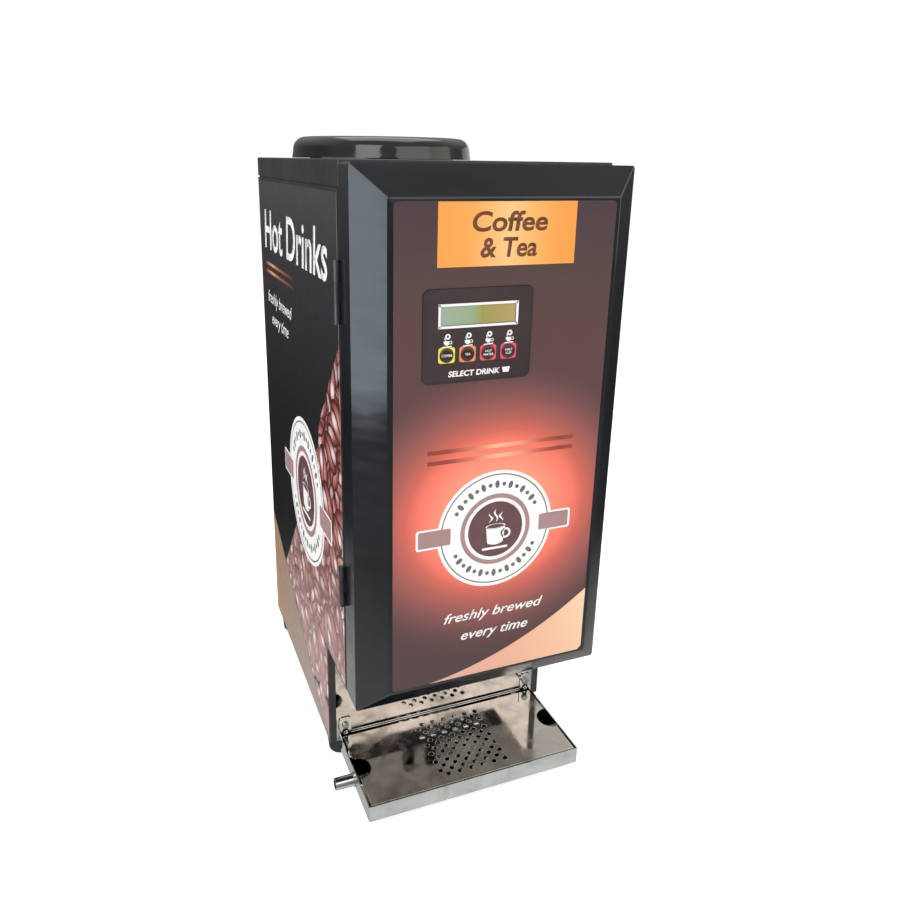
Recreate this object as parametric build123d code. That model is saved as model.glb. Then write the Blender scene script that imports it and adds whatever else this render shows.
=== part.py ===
from build123d import *

import math
import os

# Hot coffee vending machine, millimetres.
# +X is the customer's right, +Y runs back into the cabinet, +Z is up.
# The origin is on the table, under the middle of the machine.

# ---- Driving sizes -------------------------------------------------------
WIDTH = 250.0            # cabinet, over the side panels
DEPTH = 360.0            # upper cabinet, without the door
HEIGHT = 600.0           # cabinet, without the feet
SHEET = 1.0              # sheet metal of the cabinet
SCREW_IN = 9.0           # back panel's screws, in from the cabinet's sides
SCREW_END = 30.0         # first and last screw, from the side panel's ends
SCREW_ROWS = 4
HEAD_R = 3.6             # pan head of a screw
FOOT_H = 20.0
FOOT_R = 15.0
FOOT_IN = 16.0           # foot's middle, in from the cabinet's sides
FOOT_FRONT = 16.0        # behind the splash panel
FOOT_BACK = 26.0         # and in front of the back panel
PAN_RIM = 15.0           # base pan's side rims
SETBACK = 71.7           # the cup bay's splash panel stands this far behind the upper cabinet's front
STEP_H = 117.5           # height of the cup bay's ceiling over the cabinet's bottom edge
SKIRT_H = 20.5           # top cover's skirt
SEAM = 1.5               # shadow gap under the skirt
FIT = 0.2                # gap between sheets that fit inside one another
SEAT = 0.3               # gap under a part that lifts off
RUN_FIT = 0.05           # radial clearance of a shaft that turns in its bore

DOOR_D = 50.9            # door depth, from the cabinet's front to the door's flat face
DOOR_WALL_D = 31.5       # straight part of the door's side walls, from the cabinet's front
DOOR_INSET = 24.4        # width of the door's bevelled frame
DOOR_OVER = 0.5          # the door is this much wider than the cabinet on each side
DOOR_GAP = 2.6           # gap between door and cabinet, where the hinge leaves lie
DOOR_T = 2.0             # door moulding
DOOR_TOP_DROP = 2.2      # door's top edge under the cabinet's top
DOOR_R = 2.5             # rounding of the door's outer corners
HINGE_R = 2.5            # hinge knuckle
PIN_R = 1.2
LEAF_W = 22.0
HINGES = ((250.5, 40.0), (517.0, 52.0))       # middle height and length of each hinge

LABEL_T = 0.5            # printed sheet on the door
LABEL_SIDE = 4.1         # its margin to the bevel's edge at the sides
LABEL_END = 2.9          # and at the bottom and the top
VINYL_T = 0.3            # printed vinyl on the side panels
VINYL_MARGIN = 3.0

KEYPAD_X = -24.75        # middle of the keypad
KEYPAD_Z = 485.9
KEYPAD_W = 96.5
KEYPAD_H = 76.8
KEYPAD_T = 1.0           # plate of the keypad bezel
LCD_W = 66.0             # display window
LCD_H = 15.4
LCD_Z = 502.5
BUTTON_R = 5.6
BUTTON_PITCH = 18.3
BUTTON_Z = 471.0
BUTTON_PROUD = 0.7
BUTTON_TRAVEL = 0.5
BOSS_IN = 8.0            # keypad's bosses, in from its edges

TRAY_W = 230.0
TRAY_FRONT = 36.2        # tray's front edge, in front of the cabinet's front plane
TRAY_H = 18.2
TRAY_Z = 10.5            # underside of the tray
TRAY_T = 1.0
TRAY_LIFT = 8.0          # lift that frees the keyholes
TAB_W = 13.0             # tray's tab around each keyhole
HOOK_R = 2.5             # shoulder screw's shank
HOOK_HEAD_R = 3.5
COVER_GAP = 2.0          # play of the tray's cover at its sides
HOLE_R = 2.6
HOLE_PITCH = 12.7
HOLE_COLUMNS = 12
NOTCH_R = 15.0           # finger notch in the tray cover
NIPPLE_R = 6.0
NIPPLE_L = 20.0

LID_R = 98.0             # round lid of the water tank
LID_H = 22.0
LID_T = 2.5
LID_X = -6.0             # its middle and the tank mouth's, off the machine's middle
LID_Y = 98.0
MOUTH_R = 74.0           # tank mouth, inside
MOUTH_RIM = 6.0          # top cover's mouth is this much wider
NECK_DROP = 2.5          # tank neck's rim under the top cover's top

BULKHEAD_Y = -30.0       # plate between the powder side and the water side
TANK_W = 196.0
TANK_FRONT = 14.0
TANK_BACK = 190.0
TANK_Z = 330.0
TANK_TOP = 596.0
CAN_X = 60.0             # middle of each powder canister
CAN_W = 108.0
CAN_D = 108.0
CAN_Z = 376.0
CAN_TOP = 560.0
CAN_T = 2.0
HOPPER_Z = 74.0          # where the canister's walls turn inwards, over its foot
TROUGH_Z = 26.0          # and where they reach the trough
OUTLET_R = 11.0
AUGER_R = 12.0           # middle of the auger's wire
AUGER_WIRE = 1.8
TROUGH_R = 15.0
BOWL_R = 36.0
BOWL_Y = -114.0
BOWL_TOP = 306.0
BOWL_T = 2.0
CHAMBER_R = 20.0
WHIP_Z = 250.0
NOZZLE_X = 14.0
NOZZLE_Y = -139.0
NOZZLE_R = 5.0
HOSE_R = 5.0
HOSE_BORE = 3.0
HOSE_X = 40.0
HOSE_Z = 298.0

FAN = 80.0
FAN_D = 25.0
FAN_X = -60.0
FAN_Z = 230.0
FAN_HUB = 17.0
INLET_X = 70.0
INLET_Z = 80.0
INLET_W = 44.0
INLET_H = 54.0
LOCK_Y = 22.0            # lock axis behind the cabinet's front plane
LOCK_Z = 335.0
LOCK_R = 9.5
PLUG_R = 6.0
CAM_L = 21.0
CAM_T = 2.0
CAM_H = 10.0             # width of the cam's arm
LOCK_HEAD = 4.6          # lock head, out of the side panel
PIN_BACK = 8.0           # striker's pin behind the lock axis
PIN_UP = 14.0            # and above it
PIN_GRIP_R = 2.0
STRIKER_T = 2.0
OUTLET_BACK = 16.0       # canister's outlet behind its front wall

# ---- Places that follow from them ----------------------------------------
FRONT_Y = -155.0
BACK_Y = FRONT_Y + DEPTH
BOTTOM_Z = FOOT_H
TOP_Z = FOOT_H + HEIGHT
STEP_Z = BOTTOM_Z + STEP_H
HALF = WIDTH / 2
INNER = HALF - SHEET - FIT                    # half width of plates between the side panels
SCREW_X = HALF - SCREW_IN
SPLASH_Y = FRONT_Y + SETBACK
LOWER_Y = SPLASH_Y - SHEET                    # front edge of the lower side panels
SIDE_TOP = TOP_Z - SKIRT_H - SEAM
DOOR_BACK = FRONT_Y - DOOR_GAP
DOOR_EDGE = FRONT_Y - DOOR_WALL_D
DOOR_FACE = FRONT_Y - DOOR_D
DOOR_HALF = HALF + DOOR_OVER
DOOR_Z0 = STEP_Z + FIT
DOOR_Z1 = TOP_Z - DOOR_TOP_DROP
HINGE_X = -DOOR_HALF - HINGE_R - 0.1
HINGE_Y = FRONT_Y - DOOR_GAP / 2
BEZEL_Y = DOOR_FACE - KEYPAD_T
BUTTON_XS = [KEYPAD_X + BUTTON_PITCH * (i - 1.5) for i in range(4)]
TRAY_TOP = TRAY_Z + TRAY_H
TRAY_Y0 = FRONT_Y - TRAY_FRONT
TRAY_Y1 = SPLASH_Y - 0.8
HOOK_X = (TRAY_W - TAB_W) / 2
HOOK_Z = 40.0
HOOK_HEAD = 2.2                               # thickness of the hook screws' heads
SCREW_R = 1.9
AUGER_Z = CAN_Z + CAN_T + TROUGH_R
CAN_BACK = BULKHEAD_Y - 4.0
CAN_FRONT = CAN_BACK - CAN_D
OUTLET_Y = CAN_FRONT + OUTLET_BACK
BOARD_Y = DOOR_FACE + 15.0
SWITCH_Y = BOARD_Y - 4.0
CAM_X = HALF - SHEET - 13.0
NIPPLE_Y = FRONT_Y + 15.0
NIPPLE_Z = TRAY_Z + 7.6
NOTCH_Y = FRONT_Y + 16.5
HOLE_X0 = -33.0
VALVE_Y = 38.0
HOSE_END = VALVE_Y - 26.0
STUB_Y = BOWL_Y + BOWL_R + 8.0
SPOUT_Z = WHIP_Z - CHAMBER_R - 14.0
NOZZLE_TOP = STEP_Z + 22.0
HEATER_X = 44.0
HEATER_R = 4.0
HEATER_Z = TANK_Z + 30.0
FLOAT_BORE = 4.5
AUGER_HUB = 6.0
WHIP_SHAFT = 2.5
WHIP_MOTOR_Y = BULKHEAD_Y - 40.0
MOTOR_Y = BULKHEAD_Y - 2.0
ROCKER_Z = INLET_Z + 15.0
ROCKER_W = 13.6
ROCKER_TILT = 8.0


# ---- Small helpers -------------------------------------------------------
def block(x0, x1, y0, y1, z0, z1):
    """Box between two corners."""
    size = (x1 - x0, y1 - y0, z1 - z0)
    middle = ((x0 + x1) / 2, (y0 + y1) / 2, (z0 + z1) / 2)
    return Pos(*middle) * Box(*size)


def rod(radius, start, end):
    """Round bar from one point to another."""
    start = Vector(*start)
    along = Vector(*end) - start
    return Solid.make_cylinder(radius, along.length, Plane(origin=start, z_dir=along))


def tube(outer, inner, start, end):
    """Round tube from one point to another."""
    return rod(outer, start, end) - rod(inner, start, end)


def rounded(x, z, width, height, radius, y0, y1):
    """Upright plate with rounded corners, from y0 to y1."""
    upright = Plane(origin=(x, y0, z), x_dir=(1, 0, 0), z_dir=(0, 1, 0))
    return extrude(upright * RectangleRounded(width, height, radius), amount=y1 - y0)


def prism_x(points, x0, x1):
    """Outline of (y, z) points, extruded from x0 to x1."""
    outline = Wire.make_polygon([(x0, y, z) for y, z in points], close=True)
    return Solid.extrude(Face(outline), Vector(x1 - x0, 0, 0))


def prism_y(points, y0, y1):
    """Outline of (x, z) points, extruded from y0 to y1."""
    outline = Wire.make_polygon([(x, y0, z) for x, z in points], close=True)
    return Solid.extrude(Face(outline), Vector(0, y1 - y0, 0))


def mirrored(part):
    """The same part on the other side of the machine."""
    return part.mirror(Plane.YZ)


# ---- Cabinet -------------------------------------------------------------
def side_outline(margin=0.0):
    """Stepped outline of a side panel, in (y, z)."""
    return [
        (FRONT_Y + margin, STEP_Z + margin),
        (FRONT_Y + margin, SIDE_TOP - margin),
        (BACK_Y - margin, SIDE_TOP - margin),
        (BACK_Y - margin, BOTTOM_Z + margin),
        (LOWER_Y + margin, BOTTOM_Z + margin),
        (LOWER_Y + margin, STEP_Z + margin),
    ]


def screw_points():
    """Height of the back panel's screws at each side."""
    step = (SIDE_TOP - BOTTOM_Z - 2 * SCREW_END) / (SCREW_ROWS - 1)
    return [BOTTOM_Z + SCREW_END + step * i for i in range(SCREW_ROWS)]


def side_panel(front_flange):
    """Left side panel with its folded edges. front_flange is the width of the upper front fold."""
    inside = -HALF + SHEET
    part = prism_x(side_outline(), -HALF, inside)
    part += block(inside, inside + front_flange, FRONT_Y, FRONT_Y + SHEET, STEP_Z, SIDE_TOP)
    part += block(inside, inside + 6.0, LOWER_Y, LOWER_Y + SHEET, BOTTOM_Z, STEP_Z - SHEET)
    back_y = BACK_Y - SHEET - FIT
    part += block(inside, inside + 14.0, back_y - SHEET, back_y, BOTTOM_Z + 5.0, SIDE_TOP - 5.0)
    tab_x = -HALF + SHEET + FIT
    part += block(inside - SHEET, tab_x + SHEET, FRONT_Y + 4.0, BACK_Y - 4.0, SIDE_TOP - SHEET, SIDE_TOP)
    part += block(tab_x, tab_x + SHEET, FRONT_Y + 4.0, BACK_Y - 4.0, SIDE_TOP - SHEET, TOP_Z - SHEET - FIT)
    for z in screw_points():
        part -= rod(SCREW_R + FIT, (-SCREW_X, back_y - 5, z), (-SCREW_X, BACK_Y + 5, z))
    return part


def side_panels():
    left = side_panel(LEAF_W - 3.0)
    right = mirrored(side_panel(5.0))
    right -= rod(LOCK_R + FIT, (HALF - 5, FRONT_Y + LOCK_Y, LOCK_Z), (HALF + 5, FRONT_Y + LOCK_Y, LOCK_Z))
    return {"side_panel_left": left, "side_panel_right": right}


def side_graphics():
    """Printed vinyl skins on the outside of both side panels."""
    skin = prism_x(side_outline(VINYL_MARGIN), -HALF - VINYL_T, -HALF)
    right = mirrored(skin)
    lock = (FRONT_Y + LOCK_Y, LOCK_Z)
    right -= rod(LOCK_R + 3.0, (HALF - 5, *lock), (HALF + 5, *lock))
    return {"side_graphic_left": skin, "side_graphic_right": right}


def top_cover():
    outer = block(-HALF, HALF, FRONT_Y, BACK_Y, TOP_Z - SKIRT_H, TOP_Z)
    rim = outer.edges().filter_by(Axis.Z) + outer.edges().group_by(Axis.Z)[-1]
    outer = fillet(rim, 1.5)
    hollow = block(
        -HALF + SHEET, HALF - SHEET, FRONT_Y + SHEET, BACK_Y - SHEET, TOP_Z - SKIRT_H - 5, TOP_Z - SHEET
    )
    mouth = rod(MOUTH_R + MOUTH_RIM, (LID_X, LID_Y, TOP_Z - 10), (LID_X, LID_Y, TOP_Z + 5))
    return {"top_cover": outer - hollow - mouth}


def back_panel():
    """Back panel between the side panels, with the fan grille, louvres and the inlet's cut-out."""
    y0 = BACK_Y - SHEET
    part = block(-INNER, INNER, y0, BACK_Y, BOTTOM_Z + FIT, SIDE_TOP)
    part += block(-INNER + 5, INNER - 5, y0 - SHEET - FIT, y0, SIDE_TOP - SHEET, SIDE_TOP)
    tab_y = y0 - SHEET - FIT
    part += block(-INNER + 5, INNER - 5, tab_y, tab_y + SHEET, SIDE_TOP - SHEET, TOP_Z - SHEET - FIT)
    through = (y0 - 5, BACK_Y + 5)
    part -= block(
        INLET_X - INLET_W / 2 - FIT, INLET_X + INLET_W / 2 + FIT, *through,
        INLET_Z - INLET_H / 2 - FIT, INLET_Z + INLET_H / 2 + FIT,
    )
    slot = 5.0
    rows = 7
    for i in range(rows):
        z = FAN_Z + (i - (rows - 1) / 2) * 2 * slot
        half = math.sqrt((FAN / 2 - 3) ** 2 - (z - FAN_Z) ** 2)
        part -= block(FAN_X - half, FAN_X + half, *through, z - slot / 2, z + slot / 2)
    for i in range(6):
        z = FAN_Z - 25 + i * 2 * slot
        part -= block(25, 95, *through, z - slot / 2, z + slot / 2)
    for x in (-SCREW_X, SCREW_X):
        for z in screw_points():
            part -= rod(SCREW_R + FIT, (x, y0 - 5, z), (x, BACK_Y + 5, z))
    return {"back_panel": part}


def base_pan():
    y1 = BACK_Y - SHEET - FIT
    floor = BOTTOM_Z + SHEET
    part = block(-INNER, INNER, SPLASH_Y, y1, BOTTOM_Z, floor)
    part += block(-INNER, INNER, SPLASH_Y, SPLASH_Y + SHEET, floor, floor + 3.8)
    for side in (-1, 1):
        edge = sorted((side * INNER, side * (INNER - SHEET)))
        part += block(*edge, SPLASH_Y + SHEET, y1 - 3, floor, floor + PAN_RIM)
    for x, y in foot_places():
        part -= rod(SCREW_R + 1.2, (x, y, BOTTOM_Z - 5), (x, y, floor + 5))
    return {"base_pan": part}


def splash_panel():
    """Polished panel behind the cups, between base pan and bay ceiling."""
    z0 = BOTTOM_Z + SHEET + 4.0
    part = block(-INNER, INNER, SPLASH_Y, SPLASH_Y + SHEET, z0, STEP_Z - FIT)
    for x in (-HOOK_X, HOOK_X):
        part -= rod(HOOK_R, (x, SPLASH_Y - 5, HOOK_Z), (x, SPLASH_Y + 5, HOOK_Z))
    return {"splash_panel": part}


def bay_ceiling():
    """Floor of the powder side, which is the cup bay's ceiling."""
    y0 = FRONT_Y + SHEET + FIT
    part = block(-INNER, INNER, y0, BULKHEAD_Y - FIT, STEP_Z, STEP_Z + SHEET)
    part += block(-INNER + 25, INNER - 25, y0, y0 + SHEET, STEP_Z + SHEET, STEP_Z + 12)
    for x in (-NOZZLE_X, NOZZLE_X):
        part -= rod(NOZZLE_R + 2 + FIT, (x, NOZZLE_Y, STEP_Z - 5), (x, NOZZLE_Y, STEP_Z + 5))
    return {"bay_ceiling": part}


def bulkhead():
    """Upright plate that carries motors, shelves and boards."""
    y0 = BULKHEAD_Y
    part = block(-INNER, INNER, y0, y0 + SHEET, BOTTOM_Z + SHEET, SIDE_TOP - 5)
    for side in (-1, 1):
        edge = sorted((side * INNER, side * (INNER - SHEET)))
        part += block(*edge, y0 + SHEET, y0 + 12.0, BOTTOM_Z + SHEET + 16, SIDE_TOP - 5)
        notch = sorted((side * (INNER + 1), side * (INNER - SHEET - FIT)))
        part -= block(*notch, y0 - 1, y0 + 13.0, BOTTOM_Z, BOTTOM_Z + SHEET + PAN_RIM + FIT)
    through = (y0 - 5, y0 + 5)
    for x in (-1, 1):
        part -= rod(8.5, (x * CAN_X, through[0], AUGER_Z), (x * CAN_X, through[1], AUGER_Z))
        part -= rod(HOSE_R + 2, (x * HOSE_X, through[0], HOSE_Z), (x * HOSE_X, through[1], HOSE_Z))
    return {"bulkhead": part}


def tank_shelf():
    y0 = BULKHEAD_Y + SHEET + 12.0
    y1 = BACK_Y - 3 * SHEET - 1
    part = block(-INNER, INNER, y0, y1, TANK_Z - SHEET, TANK_Z)
    for side in (-1, 1):
        edge = sorted((side * INNER, side * (INNER - SHEET)))
        part += block(*edge, y0, y1, TANK_Z - 14.0, TANK_Z - SHEET)
        part -= rod(8.0, (side * HOSE_X, VALVE_Y, TANK_Z - 5), (side * HOSE_X, VALVE_Y, TANK_Z + 5))
    return {"tank_shelf": part}


def canister_shelf():
    y0 = CAN_FRONT - 4.0
    part = block(-INNER, INNER, y0, BULKHEAD_Y - FIT, CAN_Z - SHEET, CAN_Z)
    part += block(-INNER, INNER, y0, y0 + SHEET, CAN_Z - 12.0, CAN_Z - SHEET)
    for side in (-1, 1):
        edge = sorted((side * INNER, side * (INNER - SHEET)))
        part += block(*edge, y0, BULKHEAD_Y - FIT, CAN_Z - 12.0, CAN_Z - SHEET)
        part -= rod(OUTLET_R + 1.0, (side * CAN_X, OUTLET_Y, CAN_Z - 5), (side * CAN_X, OUTLET_Y, CAN_Z + 5))
    return {"canister_shelf": part}


# ---- Feet and fasteners --------------------------------------------------
def foot_places():
    """Middle of each foot."""
    half = HALF - FOOT_IN
    return [(x, y) for x in (-half, half) for y in (SPLASH_Y + FOOT_FRONT, BACK_Y - FOOT_BACK)]


def feet():
    """Tapered rubber feet, each with its moulded stud through the base pan."""
    solids = []
    for x, y in foot_places():
        body = Pos(x, y, FOOT_H / 2) * Cone(FOOT_R - 2.0, FOOT_R, FOOT_H)
        body = fillet(body.edges().group_by(Axis.Z)[0], 1.5)
        recess = rod(5.0, (x, y, -1), (x, y, 6.0))
        stud = rod(SCREW_R + 1.0, (x, y, FOOT_H - 1), (x, y, FOOT_H + 7.0))
        nut = tube(6.0, SCREW_R + 1.0, (x, y, BOTTOM_Z + SHEET), (x, y, BOTTOM_Z + SHEET + 4.0))
        solids.append(body - recess + stud + nut)
    return {"feet": Compound(children=solids)}


def screw(x, y, z, length):
    """Pan-head screw that enters along -Y."""
    head = rod(HEAD_R, (x, y, z), (x, y + 1.8, z))
    head = fillet(head.edges().group_by(Axis.Y)[-1], 1.0)
    slot = block(x - 2.2, x + 2.2, y + 1.2, y + 3, z - 0.4, z + 0.4)
    slot += block(x - 0.4, x + 0.4, y + 1.2, y + 3, z - 2.2, z + 2.2)
    return head + rod(SCREW_R, (x, y - length, z), (x, y, z)) - slot


def panel_screws():
    solids = []
    for x in (-SCREW_X, SCREW_X):
        for z in screw_points():
            solids.append(screw(x, BACK_Y, z, 6.0))
    return {"panel_screws": Compound(children=solids)}


def tray_hook_screws():
    """Shoulder screws in the splash panel, which carry the tray's keyholes."""
    solids = []
    for x in (-HOOK_X, HOOK_X):
        head_y = TRAY_Y1 - TRAY_T - SEAT
        shank = rod(HOOK_R, (x, SPLASH_Y + 4, HOOK_Z), (x, head_y, HOOK_Z))
        head = rod(HOOK_HEAD_R, (x, head_y - HOOK_HEAD, HOOK_Z), (x, head_y, HOOK_Z))
        head = fillet(head.edges().group_by(Axis.Y)[0], 1.0)
        nut = rod(4.0, (x, SPLASH_Y + SHEET, HOOK_Z), (x, SPLASH_Y + 4, HOOK_Z))
        solids.append(shank + head + nut)
    return {"tray_hook_screws": Compound(children=solids)}


# ---- Hinges --------------------------------------------------------------
def hinge_parts():
    """Two butt hinges: cabinet leaves, door leaves and pins."""
    cabinet = []
    door = []
    pins = []
    gap = SEAT
    for z, length in HINGES:
        third = length / 3
        low = z - length / 2
        high = z + length / 2
        leaf_x = HINGE_X + LEAF_W
        plate = block(HINGE_X, leaf_x, HINGE_Y + 0.1, FRONT_Y, low, high)
        knuckle = rod(HINGE_R, (HINGE_X, HINGE_Y, low), (HINGE_X, HINGE_Y, high))
        slot = block(
            HINGE_X - 4, HINGE_X + 3.0, HINGE_Y - 4, HINGE_Y + 4, low + third - gap, high - third + gap
        )
        bore = rod(PIN_R, (HINGE_X, HINGE_Y, low - 1), (HINGE_X, HINGE_Y, high + 1))
        cabinet.append(plate + knuckle - slot - bore)
        plate = block(HINGE_X, leaf_x, DOOR_BACK, HINGE_Y - 0.1, low, high)
        for edge in ((low - 1, low + third), (high - third, high + 1)):
            plate -= block(HINGE_X - 1, HINGE_X + 3.0, DOOR_BACK - 1, HINGE_Y + 1, *edge)
        knuckle = rod(HINGE_R, (HINGE_X, HINGE_Y, low + third), (HINGE_X, HINGE_Y, high - third))
        bore = rod(PIN_R + RUN_FIT, (HINGE_X, HINGE_Y, low), (HINGE_X, HINGE_Y, high))
        door.append(plate + knuckle - bore)
        pins.append(rod(PIN_R, (HINGE_X, HINGE_Y, low), (HINGE_X, HINGE_Y, high)))
    return {
        "hinge_leaves_cabinet": Compound(children=cabinet),
        "hinge_leaves_door": Compound(children=door),
        "hinge_pins": Compound(children=pins),
    }


# ---- Door ----------------------------------------------------------------
def door_form(wall):
    """Closed form of the door, shrunk by wall: straight sides and a bevelled frame."""
    width = 2 * (DOOR_HALF - wall)
    height = DOOR_Z1 - DOOR_Z0 - 2 * wall
    z = (DOOR_Z0 + DOOR_Z1) / 2
    corner = max(DOOR_R - wall, 0.6)
    face_shift = wall * 0.9
    edge = DOOR_EDGE + wall * 0.4
    base = rounded(0, z, width, height, corner, edge, DOOR_BACK + (1.0 if wall else 0.0))
    back = Plane(origin=(0, edge, z), x_dir=(1, 0, 0), z_dir=(0, -1, 0))
    front = Plane(origin=(0, DOOR_FACE + face_shift, z), x_dir=(1, 0, 0), z_dir=(0, -1, 0))
    inset = 2 * DOOR_INSET
    outline = back * RectangleRounded(width, height, corner)
    face = front * RectangleRounded(width + 2 * wall - inset, height + 2 * wall - inset, 0.6)
    return base + loft([outline, face], ruled=True)


def door_shell():
    part = door_form(0.0) - door_form(DOOR_T)
    window = rounded(
        KEYPAD_X, KEYPAD_Z, KEYPAD_W - 8.0, KEYPAD_H - 8.0, 3.0, DOOR_FACE - 2, DOOR_FACE + DOOR_T + 2
    )
    return {"door_shell": part - window}


def door_liner():
    """Sheet that closes the back of the door."""
    inner = DOOR_HALF - DOOR_T - FIT
    part = block(-inner, inner, DOOR_BACK - SHEET, DOOR_BACK, DOOR_Z0 + DOOR_T + FIT, DOOR_Z1 - DOOR_T - FIT)
    for side in (-1, 1):
        edge = sorted((side * inner, side * (inner - SHEET)))
        part += block(*edge, DOOR_BACK - 10.0, DOOR_BACK - SHEET, DOOR_Z0 + 20.0, DOOR_Z1 - 20.0)
    return {"door_liner": part}


def front_graphic():
    """Printed sheet on the door's flat face, cut out around the keypad."""
    width = 2 * (DOOR_HALF - DOOR_INSET - LABEL_SIDE)
    height = DOOR_Z1 - DOOR_Z0 - 2 * (DOOR_INSET + LABEL_END)
    z = (DOOR_Z0 + DOOR_Z1) / 2
    sheet = rounded(0, z, width, height, 4.0, DOOR_FACE - LABEL_T, DOOR_FACE)
    cut = rounded(
        KEYPAD_X, KEYPAD_Z, KEYPAD_W + 2 * FIT, KEYPAD_H + 2 * FIT, 6.2, DOOR_FACE - 2, DOOR_FACE + 1
    )
    return {"front_graphic": sheet - cut}


def keypad_bezel():
    """Keypad plate with its window, button holes and four bosses for the board."""
    plate = rounded(KEYPAD_X, KEYPAD_Z, KEYPAD_W, KEYPAD_H, 6.0, BEZEL_Y, DOOR_FACE)
    window = rounded(KEYPAD_X, LCD_Z, LCD_W, LCD_H, 0.4, BEZEL_Y - 1, DOOR_FACE + 1)
    part = plate - window
    for x in BUTTON_XS:
        part -= rod(BUTTON_R + FIT, (x, BEZEL_Y - 1, BUTTON_Z), (x, DOOR_FACE + 1, BUTTON_Z))
    for x in (-1, 1):
        for z in (-1, 1):
            px = KEYPAD_X + x * (KEYPAD_W / 2 - BOSS_IN)
            pz = KEYPAD_Z + z * (KEYPAD_H / 2 - BOSS_IN)
            part += rod(3.0, (px, DOOR_FACE - 0.5, pz), (px, BOARD_Y, pz))
    return {"keypad_bezel": part}


def display():
    """Display module behind the bezel's window, with its header to the keypad board."""
    glass = rounded(KEYPAD_X, LCD_Z, LCD_W - 2 * FIT, LCD_H - 2 * FIT, 0.3, BEZEL_Y + 0.4, DOOR_FACE + 3.0)
    can = rounded(KEYPAD_X, LCD_Z, LCD_W + 6.0, LCD_H + 8.0, 0.5, DOOR_FACE + FIT, DOOR_FACE + 8.0)
    board = rounded(KEYPAD_X, LCD_Z, LCD_W + 6.0, LCD_H + 12.0, 0.5, DOOR_FACE + 8.0, DOOR_FACE + 9.6)
    board += rounded(KEYPAD_X, LCD_Z, 40.0, 3.0, 0.4, DOOR_FACE + 9.6, BOARD_Y)
    return {"lcd_module": glass + can + board}


def buttons():
    """Four caps, each with a collar behind the bezel and a stem to its switch."""
    names = ("coffee_button", "tea_button", "hot_water_button", "half_cup_button")
    parts = {}
    for name, x in zip(names, BUTTON_XS):
        cap = rod(BUTTON_R, (x, BEZEL_Y - BUTTON_PROUD, BUTTON_Z), (x, DOOR_FACE + 0.5, BUTTON_Z))
        cap = fillet(cap.edges().group_by(Axis.Y)[0], 0.4)
        collar = rod(BUTTON_R + 1.5, (x, DOOR_FACE + FIT, BUTTON_Z), (x, DOOR_FACE + 1.4, BUTTON_Z))
        stem = rod(1.7, (x, DOOR_FACE + 1.0, BUTTON_Z), (x, SWITCH_Y - BUTTON_TRAVEL - 0.1, BUTTON_Z))
        parts[name] = cap + collar + stem
    return parts


def keypad_board():
    """Circuit board behind the keypad, with a switch behind each button."""
    part = rounded(KEYPAD_X, KEYPAD_Z, KEYPAD_W - 9.0, KEYPAD_H - 9.0, 2.0, BOARD_Y, BOARD_Y + 1.6)
    for x in BUTTON_XS:
        part += block(x - 3, x + 3, SWITCH_Y, BOARD_Y, BUTTON_Z - 3, BUTTON_Z + 3)
    part += block(KEYPAD_X - 18, KEYPAD_X + 18, BOARD_Y + 1.6, BOARD_Y + 4.6, KEYPAD_Z - 6, KEYPAD_Z + 6)
    part += block(KEYPAD_X + 26, KEYPAD_X + 36, BOARD_Y + 1.6, BOARD_Y + 9.0, KEYPAD_Z - 12, KEYPAD_Z + 12)
    return {"keypad_board": part}


# ---- Lock ----------------------------------------------------------------
def lock_parts():
    """Cam lock in the right side panel, and the door's striker that its cam catches."""
    y = FRONT_Y + LOCK_Y
    z = LOCK_Z
    inner_x = CAM_X + CAM_T
    head_x = HALF + LOCK_HEAD
    barrel = rod(LOCK_R, (inner_x + SEAT, y, z), (HALF, y, z))
    barrel += rod(LOCK_R + 1.5, (HALF, y, z), (head_x, y, z))
    barrel = fillet(barrel.edges().group_by(Axis.X)[-1], 0.8)
    barrel += rod(LOCK_R + 3.0, (HALF - SHEET - 4.0, y, z), (HALF - SHEET, y, z))
    barrel -= rod(PLUG_R + RUN_FIT, (inner_x - 5, y, z), (head_x + 5, y, z))
    plug = rod(PLUG_R, (CAM_X, y, z), (head_x, y, z))
    plug -= block(head_x - 3.0, head_x + 5, y - 3.6, y + 3.6, z - 0.7, z + 0.7)
    cam = block(CAM_X, inner_x, y - CAM_L, y, z - CAM_H / 2, z + CAM_H / 2)
    cam += rod(LOCK_R - 1.0, (CAM_X, y, z), (inner_x, y, z))
    catch = striker(y + PIN_BACK, z + PIN_UP)
    return {"lock_barrel": barrel, "lock_cam": plug + cam, "door_striker": catch}


def striker(pin_y, pin_z):
    """Angle plate on the door's back, with the pin behind which the cam turns."""
    plate_x = CAM_X - 6.0
    low = pin_z - 6.5
    high = pin_z + 7.0
    part = block(plate_x, plate_x + STRIKER_T, DOOR_BACK, pin_y + 5.0, low, high)
    part += block(plate_x - 16.0, plate_x + STRIKER_T, DOOR_BACK, DOOR_BACK + 1.5, low, high)
    pin = rod(PIN_GRIP_R, (plate_x + STRIKER_T / 2, pin_y, pin_z), (CAM_X + CAM_T + 1.0, pin_y, pin_z))
    return part + pin


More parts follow.
